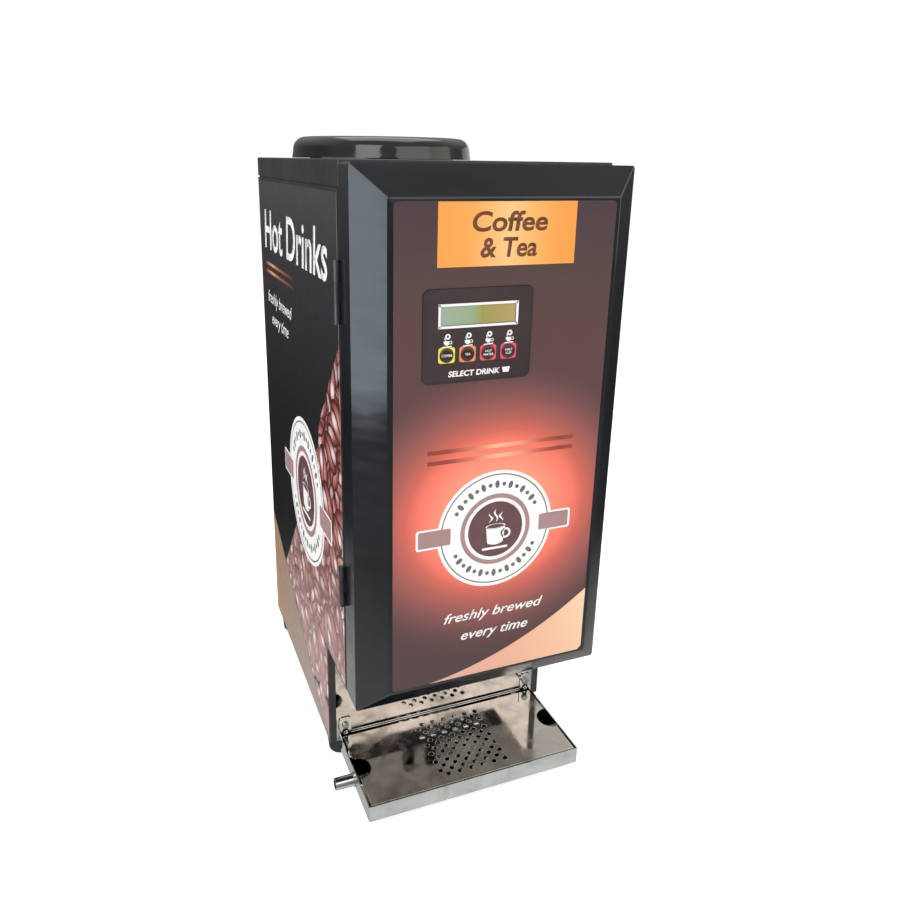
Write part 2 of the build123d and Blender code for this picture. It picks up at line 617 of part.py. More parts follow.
# ---- Tray ----------------------------------------------------------------
def tray_pan():
    half = TRAY_W / 2
    outer = block(-half, half, TRAY_Y0, TRAY_Y1, TRAY_Z, TRAY_TOP)
    outer = fillet(outer.edges().filter_by(Axis.Z) + outer.edges().group_by(Axis.Z)[0], 1.8)
    part = outer - block(
        -half + TRAY_T, half - TRAY_T, TRAY_Y0 + TRAY_T, TRAY_Y1 - TRAY_T, TRAY_Z + TRAY_T, TRAY_TOP + 5
    )
    for x in (-HOOK_X, HOOK_X):
        tab = block(x - TAB_W / 2, x + TAB_W / 2, TRAY_Y1 - TRAY_T, TRAY_Y1, TRAY_TOP - 1, HOOK_Z + 9.0)
        tab = fillet(tab.edges().filter_by(Axis.Y).group_by(Axis.Z)[-1], 4.0)
        narrow = HOOK_R + FIT
        slot = block(x - narrow, x + narrow, TRAY_Y1 - 5, TRAY_Y1 + 5, HOOK_Z - TRAY_LIFT, HOOK_Z)
        slot += rod(narrow, (x, TRAY_Y1 - 5, HOOK_Z), (x, TRAY_Y1 + 5, HOOK_Z))
        low = HOOK_Z - TRAY_LIFT
        slot += rod(HOOK_HEAD_R + SEAT, (x, TRAY_Y1 - 5, low), (x, TRAY_Y1 + 5, low))
        part += tab
        part -= slot
    part -= rod(NIPPLE_R, (-half - 5, NIPPLE_Y, NIPPLE_Z), (-half + 5, NIPPLE_Y, NIPPLE_Z))
    return {"tray_pan": part + drain_nipple()}


def drain_nipple():
    """Drain tube that is welded into the tray's left wall."""
    start = (-TRAY_W / 2 + TRAY_T, NIPPLE_Y, NIPPLE_Z)
    end = (-TRAY_W / 2 - NIPPLE_L, NIPPLE_Y, NIPPLE_Z)
    part = tube(NIPPLE_R, NIPPLE_R - 1.2, start, end)
    bead = tube(NIPPLE_R + 1.2, NIPPLE_R - 1.2, (-TRAY_W / 2, NIPPLE_Y, NIPPLE_Z),
                (-TRAY_W / 2 - 1.0, NIPPLE_Y, NIPPLE_Z))
    return part + bead


def tray_cover():
    """Perforated plate with finger notches, folded edges and four legs."""
    half = TRAY_W / 2 - TRAY_T - COVER_GAP
    y0 = TRAY_Y0 + TRAY_T + 1.2
    y1 = TRAY_Y1 - TRAY_T - HOOK_HEAD - 1.3
    top = TRAY_TOP
    part = block(-half, half, y0, y1, top - TRAY_T, top)
    part = fillet(part.edges().group_by(Axis.Z)[-1], 0.6)
    for y in (y0, y1 - TRAY_T):
        part += block(-half, half, y, y + TRAY_T, top - 5.0, top - TRAY_T + 0.2)
    foot = TRAY_Z + TRAY_T + SEAT
    for x in (-half, half - TRAY_T):
        for y in (y0 + 2.0, y1 - 20.0):
            part += block(x, x + TRAY_T, y, y + 18.0, foot, top - TRAY_T + 0.2)
    for x in (-half, half):
        part -= rod(NOTCH_R, (x, NOTCH_Y, top - 3), (x, NOTCH_Y, top + 3))
    holes = []
    for column in range(HOLE_COLUMNS):
        count = 6 + column % 2
        x = HOLE_X0 + column * HOLE_PITCH / 2
        for row in range(count):
            y = NOTCH_Y + (row - (count - 1) / 2) * HOLE_PITCH
            holes.append(rod(HOLE_R, (x, y, top - 3), (x, y, top + 3)))
    return {"tray_cover": part - holes}


# ---- Water side ----------------------------------------------------------
def tank_lid():
    """Round lid: a cap that rests on the top cover and a ring inside the cover's mouth."""
    base = TOP_Z + SEAT
    top = TOP_Z + LID_H
    cap = Pos(LID_X, LID_Y, (base + top) / 2) * Cylinder(LID_R, top - base)
    cap = fillet(cap.edges().group_by(Axis.Z)[-1], 7.0)
    hollow = Pos(LID_X, LID_Y, (base - 1 + top - LID_T) / 2) * Cylinder(LID_R - LID_T, top - LID_T - base + 1)
    hollow = fillet(hollow.edges().group_by(Axis.Z)[-1], 5.0)
    ring_r = MOUTH_R + MOUTH_RIM - 1.0
    ring = tube(ring_r, ring_r - 2.0, (LID_X, LID_Y, TOP_Z - 7.0), (LID_X, LID_Y, top - LID_T + 0.5))
    return {"tank_lid": cap - hollow + ring}


def water_tank():
    half = TANK_W / 2
    middle = (TANK_FRONT + TANK_BACK) / 2
    outer = block(-half, half, TANK_FRONT, TANK_BACK, TANK_Z, TANK_TOP)
    outer = fillet(outer.edges().filter_by(Axis.Z), 12.0)
    inner = block(
        -half + SHEET, half - SHEET, TANK_FRONT + SHEET, TANK_BACK - SHEET, TANK_Z + SHEET, TANK_TOP - SHEET
    )
    inner = fillet(inner.edges().filter_by(Axis.Z), 11.0)
    neck_top = TOP_Z - NECK_DROP
    part = outer - inner + rod(MOUTH_R + SHEET, (LID_X, LID_Y, TANK_TOP), (LID_X, LID_Y, neck_top))
    part -= rod(MOUTH_R, (LID_X, LID_Y, TANK_TOP - 5), (LID_X, LID_Y, neck_top + 5))
    for x in (-HEATER_X, HEATER_X):
        part -= rod(HEATER_R, (x, TANK_BACK - 5, HEATER_Z), (x, TANK_BACK + 5, HEATER_Z))
    part -= rod(4.6, (half - 5, middle, HEATER_Z + 30), (half + 5, middle, HEATER_Z + 30))
    for x in (-HOSE_X, HOSE_X):
        part -= rod(3.0, (x, VALVE_Y, TANK_Z - 5), (x, VALVE_Y, TANK_Z + 5))
    return {"water_tank": part}


def heater_element():
    """Immersion heater: a hairpin tube on a flange at the back of the tank."""
    y_front = TANK_FRONT + 36.0
    path = FilletPolyline(
        (-HEATER_X, TANK_BACK + 2, HEATER_Z), (-HEATER_X, y_front, HEATER_Z),
        (HEATER_X, y_front, HEATER_Z), (HEATER_X, TANK_BACK + 2, HEATER_Z), radius=HEATER_X * 0.9,
    )
    part = sweep(Plane(origin=path @ 0, z_dir=path % 0) * Circle(HEATER_R), path=path)
    part += rounded(0, HEATER_Z, 2 * HEATER_X + 24.0, 26.0, 3.0, TANK_BACK, TANK_BACK + 4.0)
    for x in (-HEATER_X, HEATER_X):
        part += rod(2.0, (x, TANK_BACK + 3, HEATER_Z), (x, TANK_BACK + 11, HEATER_Z))
    return {"heater_element": part}


def temperature_sensor():
    x = TANK_W / 2
    y = (TANK_FRONT + TANK_BACK) / 2
    z = HEATER_Z + 30
    probe = rod(4.6, (x - 34.0, y, z), (x + 1, y, z))
    nut = Plane(origin=(x, y, z), z_dir=(1, 0, 0)) * RegularPolygon(9.0, 6)
    return {"temperature_sensor": probe + extrude(nut, amount=8.0)}


def level_sensor():
    """Rod with its stop collar, hung from the tank's top, and the float that slides on it."""
    x = -78.0
    y = TANK_BACK - 22.0
    low = TANK_Z + 22.0
    top = TANK_TOP - SHEET
    stem = rod(FLOAT_BORE - 0.5, (x, y, low - 6), (x, y, top))
    stem += rod(FLOAT_BORE + 3.0, (x, y, low - 6), (x, y, low - SEAT))
    stem += rod(9.0, (x, y, top - 3.0), (x, y, top))
    buoy = tube(14.0, FLOAT_BORE, (x, y, low), (x, y, low + 28.0))
    return {"level_rod": stem, "level_float": fillet(buoy.edges().filter_by(GeomType.CIRCLE), 1.0)}


def water_valves():
    """Solenoid valves under the tank, one for each bowl."""
    solids = []
    for x in (-HOSE_X, HOSE_X):
        part = block(x - 13, x + 13, VALVE_Y - 14, VALVE_Y + 14, HOSE_Z - 8, TANK_Z - 11)
        part += tube(6.0, 3.0, (x, VALVE_Y, TANK_Z - 11), (x, VALVE_Y, TANK_Z))
        part += rod(12.0, (x, VALVE_Y + 14, HOSE_Z + 5), (x, VALVE_Y + 44, HOSE_Z + 5))
        part += tube(HOSE_R, HOSE_BORE, (x, HOSE_END, HOSE_Z), (x, VALVE_Y - 14, HOSE_Z))
        solids.append(part)
    return {"water_valves": Compound(children=solids)}


def hose_path(side):
    """Water hose from a valve, through the bulkhead, to the bowl's stub."""
    points = [
        (side * HOSE_X, HOSE_END, HOSE_Z),
        (side * HOSE_X, BULKHEAD_Y - 8.0, HOSE_Z),
        (side * CAN_X, BULKHEAD_Y - 30.0, HOSE_Z),
        (side * CAN_X, STUB_Y, HOSE_Z),
    ]
    return points, 16.0


def outlet_path(side):
    """Drink hose from a bowl's spout to its nozzle."""
    points = [
        (side * CAN_X, BOWL_Y, SPOUT_Z),
        (side * CAN_X, BOWL_Y, SPOUT_Z - 20.0),
        (side * NOZZLE_X, NOZZLE_Y, NOZZLE_TOP + 16.0),
        (side * NOZZLE_X, NOZZLE_Y, NOZZLE_TOP),
    ]
    return points, 14.0


def hoses():
    """Silicone hoses, all of one bore."""
    solids = []
    for points, radius in [path(side) for path in (hose_path, outlet_path) for side in (-1, 1)]:
        path = FilletPolyline(*points, radius=radius)
        ring = Circle(HOSE_R) - Circle(HOSE_BORE)
        solids.append(sweep(Plane(origin=path @ 0, z_dir=path % 0) * ring, path=path))
    return {"hoses": Compound(children=solids)}


# ---- Powder side ---------------------------------------------------------
def canister():
    """Left powder canister: a hopper that narrows to the auger's trough."""
    half = CAN_W / 2
    x = -CAN_X
    slope_top = CAN_Z + HOPPER_Z
    slope_low = CAN_Z + TROUGH_Z
    neck = TROUGH_R + CAN_T
    outer = prism_y(
        [(x - half, CAN_TOP), (x - half, slope_top), (x - neck, slope_low), (x - neck, CAN_Z),
         (x + neck, CAN_Z), (x + neck, slope_low), (x + half, slope_top), (x + half, CAN_TOP)],
        CAN_FRONT, CAN_BACK,
    )
    room = half - CAN_T
    y0 = CAN_FRONT + CAN_T
    y1 = CAN_BACK - CAN_T
    inner = prism_y(
        [(x - room, CAN_TOP + 5), (x - room, slope_top + 1.2), (x - TROUGH_R, slope_low + 1.0),
         (x - TROUGH_R, AUGER_Z), (x + TROUGH_R, AUGER_Z), (x + TROUGH_R, slope_low + 1.0),
         (x + room, slope_top + 1.2), (x + room, CAN_TOP + 5)],
        y0, y1,
    )
    inner += rod(TROUGH_R, (x, y0, AUGER_Z), (x, y1, AUGER_Z))
    part = outer - inner
    part += rod(OUTLET_R, (x, OUTLET_Y, CAN_Z - 14.0), (x, OUTLET_Y, CAN_Z + 1.0))
    part -= rod(OUTLET_R - CAN_T, (x, OUTLET_Y, CAN_Z - 20.0), (x, OUTLET_Y, AUGER_Z))
    part -= rod(AUGER_HUB + RUN_FIT, (x, CAN_BACK - 5, AUGER_Z), (x, CAN_BACK + 5, AUGER_Z))
    return part


def canister_lid():
    """Push-on lid of the left canister."""
    half = CAN_W / 2
    x = -CAN_X
    z = CAN_TOP + SEAT
    y0 = CAN_FRONT
    y1 = CAN_BACK
    lid = block(x - half, x + half, y0, y1, z, z + 2.5)
    lid = fillet(lid.edges().group_by(Axis.Z)[-1], 1.0)
    wall = CAN_T + 0.5
    rim = block(x - half + wall, x + half - wall, y0 + wall, y1 - wall, z - 6.0, z + 0.2)
    rim -= block(x - half + wall + 1.5, x + half - wall - 1.5, y0 + wall + 1.5, y1 - wall - 1.5, z - 7, z)
    grip = block(x - 16, x + 16, (y0 + y1) / 2 - 4, (y0 + y1) / 2 + 4, z + 2.3, z + 12.0)
    return lid + rim + grip


def auger():
    """Left auger: a wire helix on its drive hub."""
    x = -CAN_X
    start = CAN_FRONT + CAN_T + 3.0
    length = CAN_D - 2 * CAN_T - 8.0
    path = Helix(pitch=14.0, height=length, radius=AUGER_R, center=(x, start, AUGER_Z), direction=(0, 1, 0))
    coil = sweep(Plane(origin=path @ 0, z_dir=path % 0) * Circle(AUGER_WIRE), path=path, is_frenet=True)
    end = start + length
    hub = rod(AUGER_R + AUGER_WIRE, (x, end - 3.0, AUGER_Z), (x, end + 2.0, AUGER_Z))
    hub += rod(AUGER_HUB, (x, end, AUGER_Z), (x, MOTOR_Y - SEAT, AUGER_Z))
    return coil + hub


def auger_motors():
    """Geared motors behind the bulkhead, each with its output shaft."""
    solids = []
    for x in (-CAN_X, CAN_X):
        z = AUGER_Z
        part = block(x - 23, x + 23, BULKHEAD_Y + SHEET, BULKHEAD_Y + SHEET + 18, z - 16, z + 30)
        part += rod(12.0, (x, BULKHEAD_Y + SHEET + 18, z + 14), (x, TANK_FRONT - 2.0, z + 14))
        part += rod(4.0, (x, MOTOR_Y, z), (x, BULKHEAD_Y + SHEET + 2, z))
        solids.append(part)
    return {"auger_motors": Compound(children=solids)}


def mixing_bowl():
    """Left mixing bowl: cup, whipping chamber, spout and water stub."""
    x = -CAN_X
    low = WHIP_Z - CHAMBER_R + 4.0
    profile = [
        (0, low - 2.0), (CHAMBER_R, low), (CHAMBER_R, WHIP_Z + 18), (BOWL_R, WHIP_Z + 34), (BOWL_R, BOWL_TOP),
        (0, BOWL_TOP),
    ]
    wall = BOWL_T
    hollow = [
        (0, low), (CHAMBER_R - wall, low + wall), (CHAMBER_R - wall, WHIP_Z + 19),
        (BOWL_R - wall, WHIP_Z + 35), (BOWL_R - wall, BOWL_TOP + 5), (0, BOWL_TOP + 5),
    ]
    forms = []
    for points in (profile, hollow):
        outline = Wire.make_polygon([(x + r, BOWL_Y, z) for r, z in points], close=True)
        forms.append(Solid.revolve(Face(outline), 360, Axis((x, BOWL_Y, 0), (0, 0, 1))))
    part = forms[0]
    part += rod(HOSE_R, (x, BOWL_Y, SPOUT_Z), (x, BOWL_Y, low))
    part += rod(HOSE_R, (x, BOWL_Y + BOWL_R - 3, HOSE_Z), (x, STUB_Y, HOSE_Z))
    part -= forms[1]
    part -= rod(HOSE_BORE, (x, BOWL_Y, SPOUT_Z - 5), (x, BOWL_Y, low + 5))
    part -= rod(HOSE_BORE, (x, BOWL_Y + BOWL_R - 6, HOSE_Z), (x, STUB_Y + 5, HOSE_Z))
    part -= rod(WHIP_SHAFT + RUN_FIT, (x, BOWL_Y, WHIP_Z), (x, BOWL_Y + CHAMBER_R + 5, WHIP_Z))
    part += bowl_bracket(x)
    return part


def bowl_bracket(x):
    """Arm that carries the bowl from the bulkhead."""
    arm = block(x - 34, x - 28, BOWL_Y + 12, BULKHEAD_Y, BOWL_TOP - 16, BOWL_TOP - 4)
    return arm - rod(BOWL_R - 0.5, (x, BOWL_Y, BOWL_TOP - 30), (x, BOWL_Y, BOWL_TOP + 5))


def whipper():
    """Left whipper: a bladed wheel on its shaft."""
    x = -CAN_X
    shaft = rod(WHIP_SHAFT, (x, BOWL_Y - 4, WHIP_Z), (x, WHIP_MOTOR_Y - SEAT, WHIP_Z))
    wheel = rod(13.0, (x, BOWL_Y - 2, WHIP_Z), (x, BOWL_Y, WHIP_Z))
    part = shaft + wheel
    blade = block(x - 0.8, x + 0.8, BOWL_Y - 7, BOWL_Y - 1, WHIP_Z + 3, WHIP_Z + 12.5)
    for i in range(6):
        part += blade.rotate(Axis((x, BOWL_Y, WHIP_Z), (0, 1, 0)), 60 * i)
    return part


def whipper_motors():
    """Whipper motors on the front of the bulkhead."""
    solids = []
    for x in (-CAN_X, CAN_X):
        part = rod(17.0, (x, WHIP_MOTOR_Y, WHIP_Z), (x, BULKHEAD_Y - 2, WHIP_Z))
        part += block(x - 20, x + 20, BULKHEAD_Y - 2, BULKHEAD_Y, WHIP_Z - 20, WHIP_Z + 20)
        solids.append(part)
    return {"whipper_motors": Compound(children=solids)}


def powder_parts():
    """Canister, lid, auger, bowl and whipper on both sides."""
    parts = {}
    makers = (
        ("canister", canister), ("canister_lid", canister_lid), ("auger", auger),
        ("mixing_bowl", mixing_bowl), ("whipper", whipper),
    )
    for name, maker in makers:
        left = maker()
        parts[f"{name}_left"] = left
        parts[f"{name}_right"] = left.moved(Pos(2 * CAN_X, 0, 0))
    return parts


def nozzle_block():
    """Two outlet nozzles in one moulding, through the bay ceiling."""
    part = block(
        -NOZZLE_X - 11, NOZZLE_X + 11, NOZZLE_Y - 10, NOZZLE_Y + 12, STEP_Z + SHEET, STEP_Z + SHEET + 6
    )
    for x in (-NOZZLE_X, NOZZLE_X):
        part += rod(NOZZLE_R, (x, NOZZLE_Y, STEP_Z + 5), (x, NOZZLE_Y, NOZZLE_TOP))
        part += rod(NOZZLE_R + 2, (x, NOZZLE_Y, STEP_Z - 14), (x, NOZZLE_Y, STEP_Z + 3))
    for x in (-NOZZLE_X, NOZZLE_X):
        part -= rod(HOSE_BORE, (x, NOZZLE_Y, STEP_Z - 20), (x, NOZZLE_Y, NOZZLE_TOP + 5))
    return {"nozzle_block": part}


# ---- Electrics -----------------------------------------------------------
def fan():
    """Axial fan inside the back panel: frame with its spider, and rotor."""
    y1 = BACK_Y - SHEET
    y0 = y1 - FAN_D
    half = FAN / 2
    frame = rounded(FAN_X, FAN_Z, FAN, FAN, 4.0, y0, y1)
    frame -= rod(half - 2.5, (FAN_X, y0 - 1, FAN_Z), (FAN_X, y1 + 1, FAN_Z))
    frame += rod(FAN_HUB + 1.0, (FAN_X, y0, FAN_Z), (FAN_X, y0 + 3, FAN_Z))
    spoke = block(FAN_X - 2, FAN_X + 2, y0, y0 + 3, FAN_Z + 15, FAN_Z + half - 1)
    middle = Axis((FAN_X, y0, FAN_Z), (0, 1, 0))
    for i in range(4):
        frame += spoke.rotate(middle, 45 + 90 * i)
    rotor = rod(FAN_HUB, (FAN_X, y0 + 3 + SEAT, FAN_Z), (FAN_X, y1 - 2, FAN_Z))
    blade = Pos(FAN_X, (y0 + y1) / 2, FAN_Z + 26) * Rotation(0, 0, 35) * Box(1.2, 20, 20)
    for i in range(7):
        rotor += blade.rotate(middle, 360 / 7 * i)
    return {"fan_frame": frame, "fan_rotor": rotor}


def control_board():
    """Main board on stand-offs behind the bulkhead, with relays, capacitors and terminals."""
    y0 = BULKHEAD_Y + SHEET
    y1 = y0 + 8.0
    part = block(-70, 70, y1, y1 + 1.6, 150, 240)
    for x in (-64, 64):
        for z in (156, 234):
            part += rod(3.0, (x, y0, z), (x, y1, z))
    for i in range(4):
        x = -50 + 22 * i
        part += block(x - 8, x + 8, y1 + 1.6, y1 + 17, 212, 232)
    for i in range(3):
        x = 38 + 11 * i
        part += rod(4.5, (x, y1 + 1.6, 220), (x, y1 + 16, 220))
    part += block(-60, 60, y1 + 1.6, y1 + 11, 154, 164)
    part += block(-16, 16, y1 + 1.6, y1 + 5, 180, 198)
    return {"control_board": part}


def power_supply():
    """Enclosed supply on the base pan, with its cooling slots and terminal row."""
    z0 = BOTTOM_Z + SHEET
    part = block(-80, 60, 20, 118, z0, z0 + 42)
    for i in range(10):
        x = -70 + 13 * i
        part -= block(x, x + 5, 40, 100, z0 + 40.5, z0 + 45)
    part -= block(-70, 50, 19, 30, z0 + 20, z0 + 45)
    for i in range(7):
        x = -62 + 16 * i
        part += block(x, x + 9, 21, 29, z0 + 19, z0 + 26)
    return {"power_supply": part}


def power_inlet():
    """Appliance inlet and rocker switch in one moulding."""
    y1 = BACK_Y + 2.5
    z_socket = INLET_Z - 11.0
    part = rounded(INLET_X, INLET_Z, INLET_W + 4, INLET_H + 4, 2.0, BACK_Y, y1)
    part += block(
        INLET_X - INLET_W / 2, INLET_X + INLET_W / 2, BACK_Y - 28, BACK_Y,
        INLET_Z - INLET_H / 2, INLET_Z + INLET_H / 2,
    )
    part -= block(INLET_X - 12, INLET_X + 12, y1 - 17, y1 + 5, z_socket - 8.2, z_socket + 8.2)
    for dx, dz in ((-7, 0), (7, 0), (0, 4)):
        x = INLET_X + dx
        z = z_socket + dz
        part += block(x - 1, x + 1, y1 - 18, y1 - 3, z - 2, z + 2)
    part -= block(
        INLET_X - 11.0, INLET_X + 11.0, y1 - 14, y1 + 5, ROCKER_Z - ROCKER_W / 2 - FIT,
        ROCKER_Z + ROCKER_W / 2 + FIT,
    )
    for x in (INLET_X - 7, INLET_X, INLET_X + 7):
        part += block(x - 3, x + 3, BACK_Y - 37, BACK_Y - 28, INLET_Z - 0.5, INLET_Z + 0.5)
    return {"power_inlet": part}


def rocker():
    """Rocker of the switch, tilted to its off side."""
    outline = [(-9.6, -4.0), (9.6, -4.0), (9.6, 3.2), (0.0, 1.4), (-9.6, 3.2)]
    base = Wire.make_polygon(
        [(INLET_X + x, BACK_Y + y, ROCKER_Z - ROCKER_W / 2) for x, y in outline], close=True
    )
    part = Solid.extrude(Face(base), Vector(0, 0, ROCKER_W))
    return {"rocker": part.rotate(Axis((INLET_X, BACK_Y - 0.5, ROCKER_Z), (0, 0, 1)), ROCKER_TILT)}


MAKERS = (
    side_panels, side_graphics, top_cover, back_panel, base_pan, splash_panel, bay_ceiling, bulkhead,
    tank_shelf, canister_shelf, feet, panel_screws, tray_hook_screws, hinge_parts, door_shell, door_liner,
    front_graphic, keypad_bezel, display, buttons, keypad_board, lock_parts, tray_pan,
    tray_cover, tank_lid, water_tank, heater_element, temperature_sensor, level_sensor, water_valves, hoses,
    powder_parts, auger_motors, whipper_motors, nozzle_block, fan, control_board, power_supply, power_inlet,
    rocker,
)

os.makedirs("parts", exist_ok=True)
for maker in MAKERS:
    for node, shape in maker().items():
        export_step(shape, f"parts/{node}.step")
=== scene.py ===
"""Hot coffee vending machine: the shown surfaces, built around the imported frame.

Sizes are in millimetres unless a name says otherwise; meshes are in metres.
"""
import logging
import math
import random
from dataclasses import dataclass, field
from enum import Enum
from typing import Callable, Iterable, Sequence

import bmesh
import bpy
from mathutils import Matrix, Vector


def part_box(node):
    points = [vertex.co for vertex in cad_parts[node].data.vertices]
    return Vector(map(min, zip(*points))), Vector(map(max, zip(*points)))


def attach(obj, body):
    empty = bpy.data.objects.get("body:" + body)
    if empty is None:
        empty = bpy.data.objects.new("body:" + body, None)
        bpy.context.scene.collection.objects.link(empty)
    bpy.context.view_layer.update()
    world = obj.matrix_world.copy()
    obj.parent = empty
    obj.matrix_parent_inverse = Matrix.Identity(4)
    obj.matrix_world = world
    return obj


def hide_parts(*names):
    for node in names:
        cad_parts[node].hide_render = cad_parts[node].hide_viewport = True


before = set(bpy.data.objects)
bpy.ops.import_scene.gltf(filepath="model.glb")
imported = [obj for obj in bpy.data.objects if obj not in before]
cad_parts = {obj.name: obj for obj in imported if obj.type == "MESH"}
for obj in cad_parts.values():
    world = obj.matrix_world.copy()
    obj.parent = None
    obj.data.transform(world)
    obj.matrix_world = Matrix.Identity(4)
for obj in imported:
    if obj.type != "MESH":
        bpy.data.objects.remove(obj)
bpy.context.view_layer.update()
MM = 0.001
LOG = logging.getLogger("machine")
Value = float | Sequence[float] | bpy.types.NodeSocket


# ---------------------------------------------------------------------------
# Shader helpers
# ---------------------------------------------------------------------------
def srgb(code: str, alpha: float = 1.0) -> tuple[float, float, float, float]:
    """Turns an sRGB hex colour into the linear colour that a shader takes.

    Args:
        code: six hex digits, such as "C8B8A0".
        alpha: the fourth value.

    Returns:
        Linear red, green, blue and alpha.
    """
    parts = [int(code[i:i + 2], 16) / 255 for i in (0, 2, 4)]
    linear = [c / 12.92 if c <= 0.04045 else ((c + 0.055) / 1.055) ** 2.4 for c in parts]
    return (linear[0], linear[1], linear[2], alpha)


def add(tree: bpy.types.NodeTree, kind: str, inputs: dict[int | str, Value] | None = None,
        **settings: object) -> bpy.types.Node:
    """Adds a shader node with its settings, values and links.

    Args:
        tree: the material's node tree.
        kind: the node's type, without the ShaderNode in front.
        inputs: an input's name or number, and its value or the socket that feeds it.
        settings: properties of the node.

    Returns:
        The new node.
    """
    made = tree.nodes.new("ShaderNode" + kind)
    for name, value in settings.items():
        setattr(made, name, value)
    for key, value in (inputs or {}).items():
        if isinstance(value, bpy.types.NodeSocket):
            tree.links.new(value, made.inputs[key])
        else:
            made.inputs[key].default_value = value
    return made


def ramp(tree: bpy.types.NodeTree, factor: bpy.types.NodeSocket,
         stops: Sequence[tuple[float, str]]) -> bpy.types.NodeSocket:
    """Adds a colour ramp.

    Args:
        tree: the material's node tree.
        factor: the socket that drives the ramp.
        stops: position and hex colour of each stop, in order.

    Returns:
        The ramp's colour socket.
    """
    made = add(tree, "ValToRGB", {0: factor})
    band = made.color_ramp.elements
    while len(band) < len(stops):
        band.new(0.5)
    for element, (position, code) in zip(band, stops):
        element.position = position
        element.color = srgb(code)
    return made.outputs[0]


class Finish:
    """A finish: builds its material once and hands it out."""

    name: str = "finish"
    made: dict[object, bpy.types.Material] = {}

    def material(self) -> bpy.types.Material:
        """Returns the finish's material, made on first use."""
        if self not in Finish.made:
            mat = bpy.data.materials.new(self.name)
            mat.use_nodes = True
            tree = mat.node_tree
            shader = tree.nodes["Principled BSDF"]
            self.shade(tree, shader)
            Finish.made[self] = mat
        return Finish.made[self]

    def shade(self, tree: bpy.types.NodeTree, shader: bpy.types.Node) -> None:
        """Sets the shader; each finish has its own."""
        raise NotImplementedError

    @staticmethod
    def place(tree: bpy.types.NodeTree, stretch: Sequence[float] = (1, 1, 1)) -> bpy.types.NodeSocket:
        """Returns object coordinates in millimetres, each axis multiplied by stretch."""
        coords = add(tree, "TexCoord")
        scale = tuple(s / MM for s in stretch)
        return add(tree, "Mapping", {"Vector": coords.outputs["Object"], "Scale": scale}).outputs[0]

    @staticmethod
    def roughen(tree: bpy.types.NodeTree, shader: bpy.types.Node, place: bpy.types.NodeSocket,
                size: float, low: float, high: float) -> None:
        """Varies roughness from low to high in patches of size millimetres."""
        noise = add(tree, "TexNoise", {"Vector": place, "Scale": 1 / size, "Detail": 1.0})
        span = add(tree, "MapRange", {0: noise.outputs[0], 1: 0.25, 2: 0.75, 3: low, 4: high},
                   interpolation_type="SMOOTHSTEP")
        tree.links.new(span.outputs[0], shader.inputs["Roughness"])

    @staticmethod
    def relief(tree: bpy.types.NodeTree, shader: bpy.types.Node, place: bpy.types.NodeSocket,
               size: float, height: float, detail: float = 2.0) -> None:
        """Bumps the surface by height millimetres in lumps of size millimetres."""
        noise = add(tree, "TexNoise", {"Vector": place, "Scale": 1 / size, "Detail": detail})
        bump = add(tree, "Bump", {"Height": noise.outputs[0], "Distance": height * MM, "Strength": 1.0})
        tree.links.new(bump.outputs[0], shader.inputs["Normal"])

    @staticmethod
    def set(shader: bpy.types.Node, **values: object) -> None:
        """Sets Principled sockets by name, with _ for a space."""
        for key, value in values.items():
            shader.inputs[key.replace("_", " ")].default_value = value


# ---------------------------------------------------------------------------
# Finishes
# ---------------------------------------------------------------------------
@dataclass(frozen=True)
class PowderCoat(Finish):
    """Baked polyester powder on sheet steel: a satin skin with a fine orange peel."""

    name: str = "baked_powder_coat"
    colour: str = "2A2827"
    worn: str = "3A3634"
    rough: float = 0.36

    def shade(self, tree: bpy.types.NodeTree, shader: bpy.types.Node) -> None:
        """Wires the finish's own nodes into the shader."""
        place = self.place(tree)
        cloud = add(tree, "TexNoise", {"Vector": place, "Scale": 1 / 60, "Detail": 4.0})
        colour = ramp(tree, cloud.outputs[0], ((0.35, self.colour), (0.75, self.worn)))
        tree.links.new(colour, shader.inputs["Base Color"])
        self.roughen(tree, shader, place, 35.0, self.rough - 0.05, self.rough + 0.07)
        self.relief(tree, shader, place, 1.6, 0.012)


@dataclass(frozen=True)
class GlossMoulding(Finish):
    """Polished ABS moulding: deep black, clear reflections, a faint flow waviness and wiping marks."""

    name: str = "polished_abs"
    colour: str = "15171A"
    flow: str = "1A1D21"
    rough: float = 0.1
    coat: float = 0.6

    def shade(self, tree: bpy.types.NodeTree, shader: bpy.types.Node) -> None:
        """Wires the finish's own nodes into the shader."""
        place = self.place(tree)
        cloud = add(tree, "TexNoise", {"Vector": place, "Scale": 1 / 90, "Detail": 3.0})
        colour = ramp(tree, cloud.outputs[0], ((0.3, self.colour), (0.8, self.flow)))
        tree.links.new(colour, shader.inputs["Base Color"])
        self.set(shader, Coat_Weight=self.coat, Coat_Roughness=0.04, IOR=1.54)
        wipes = self.place(tree, (0.2, 0.2, 1.0))
        self.roughen(tree, shader, wipes, 9.0, self.rough, self.rough + 0.12)
        self.relief(tree, shader, place, 45.0, 0.05)


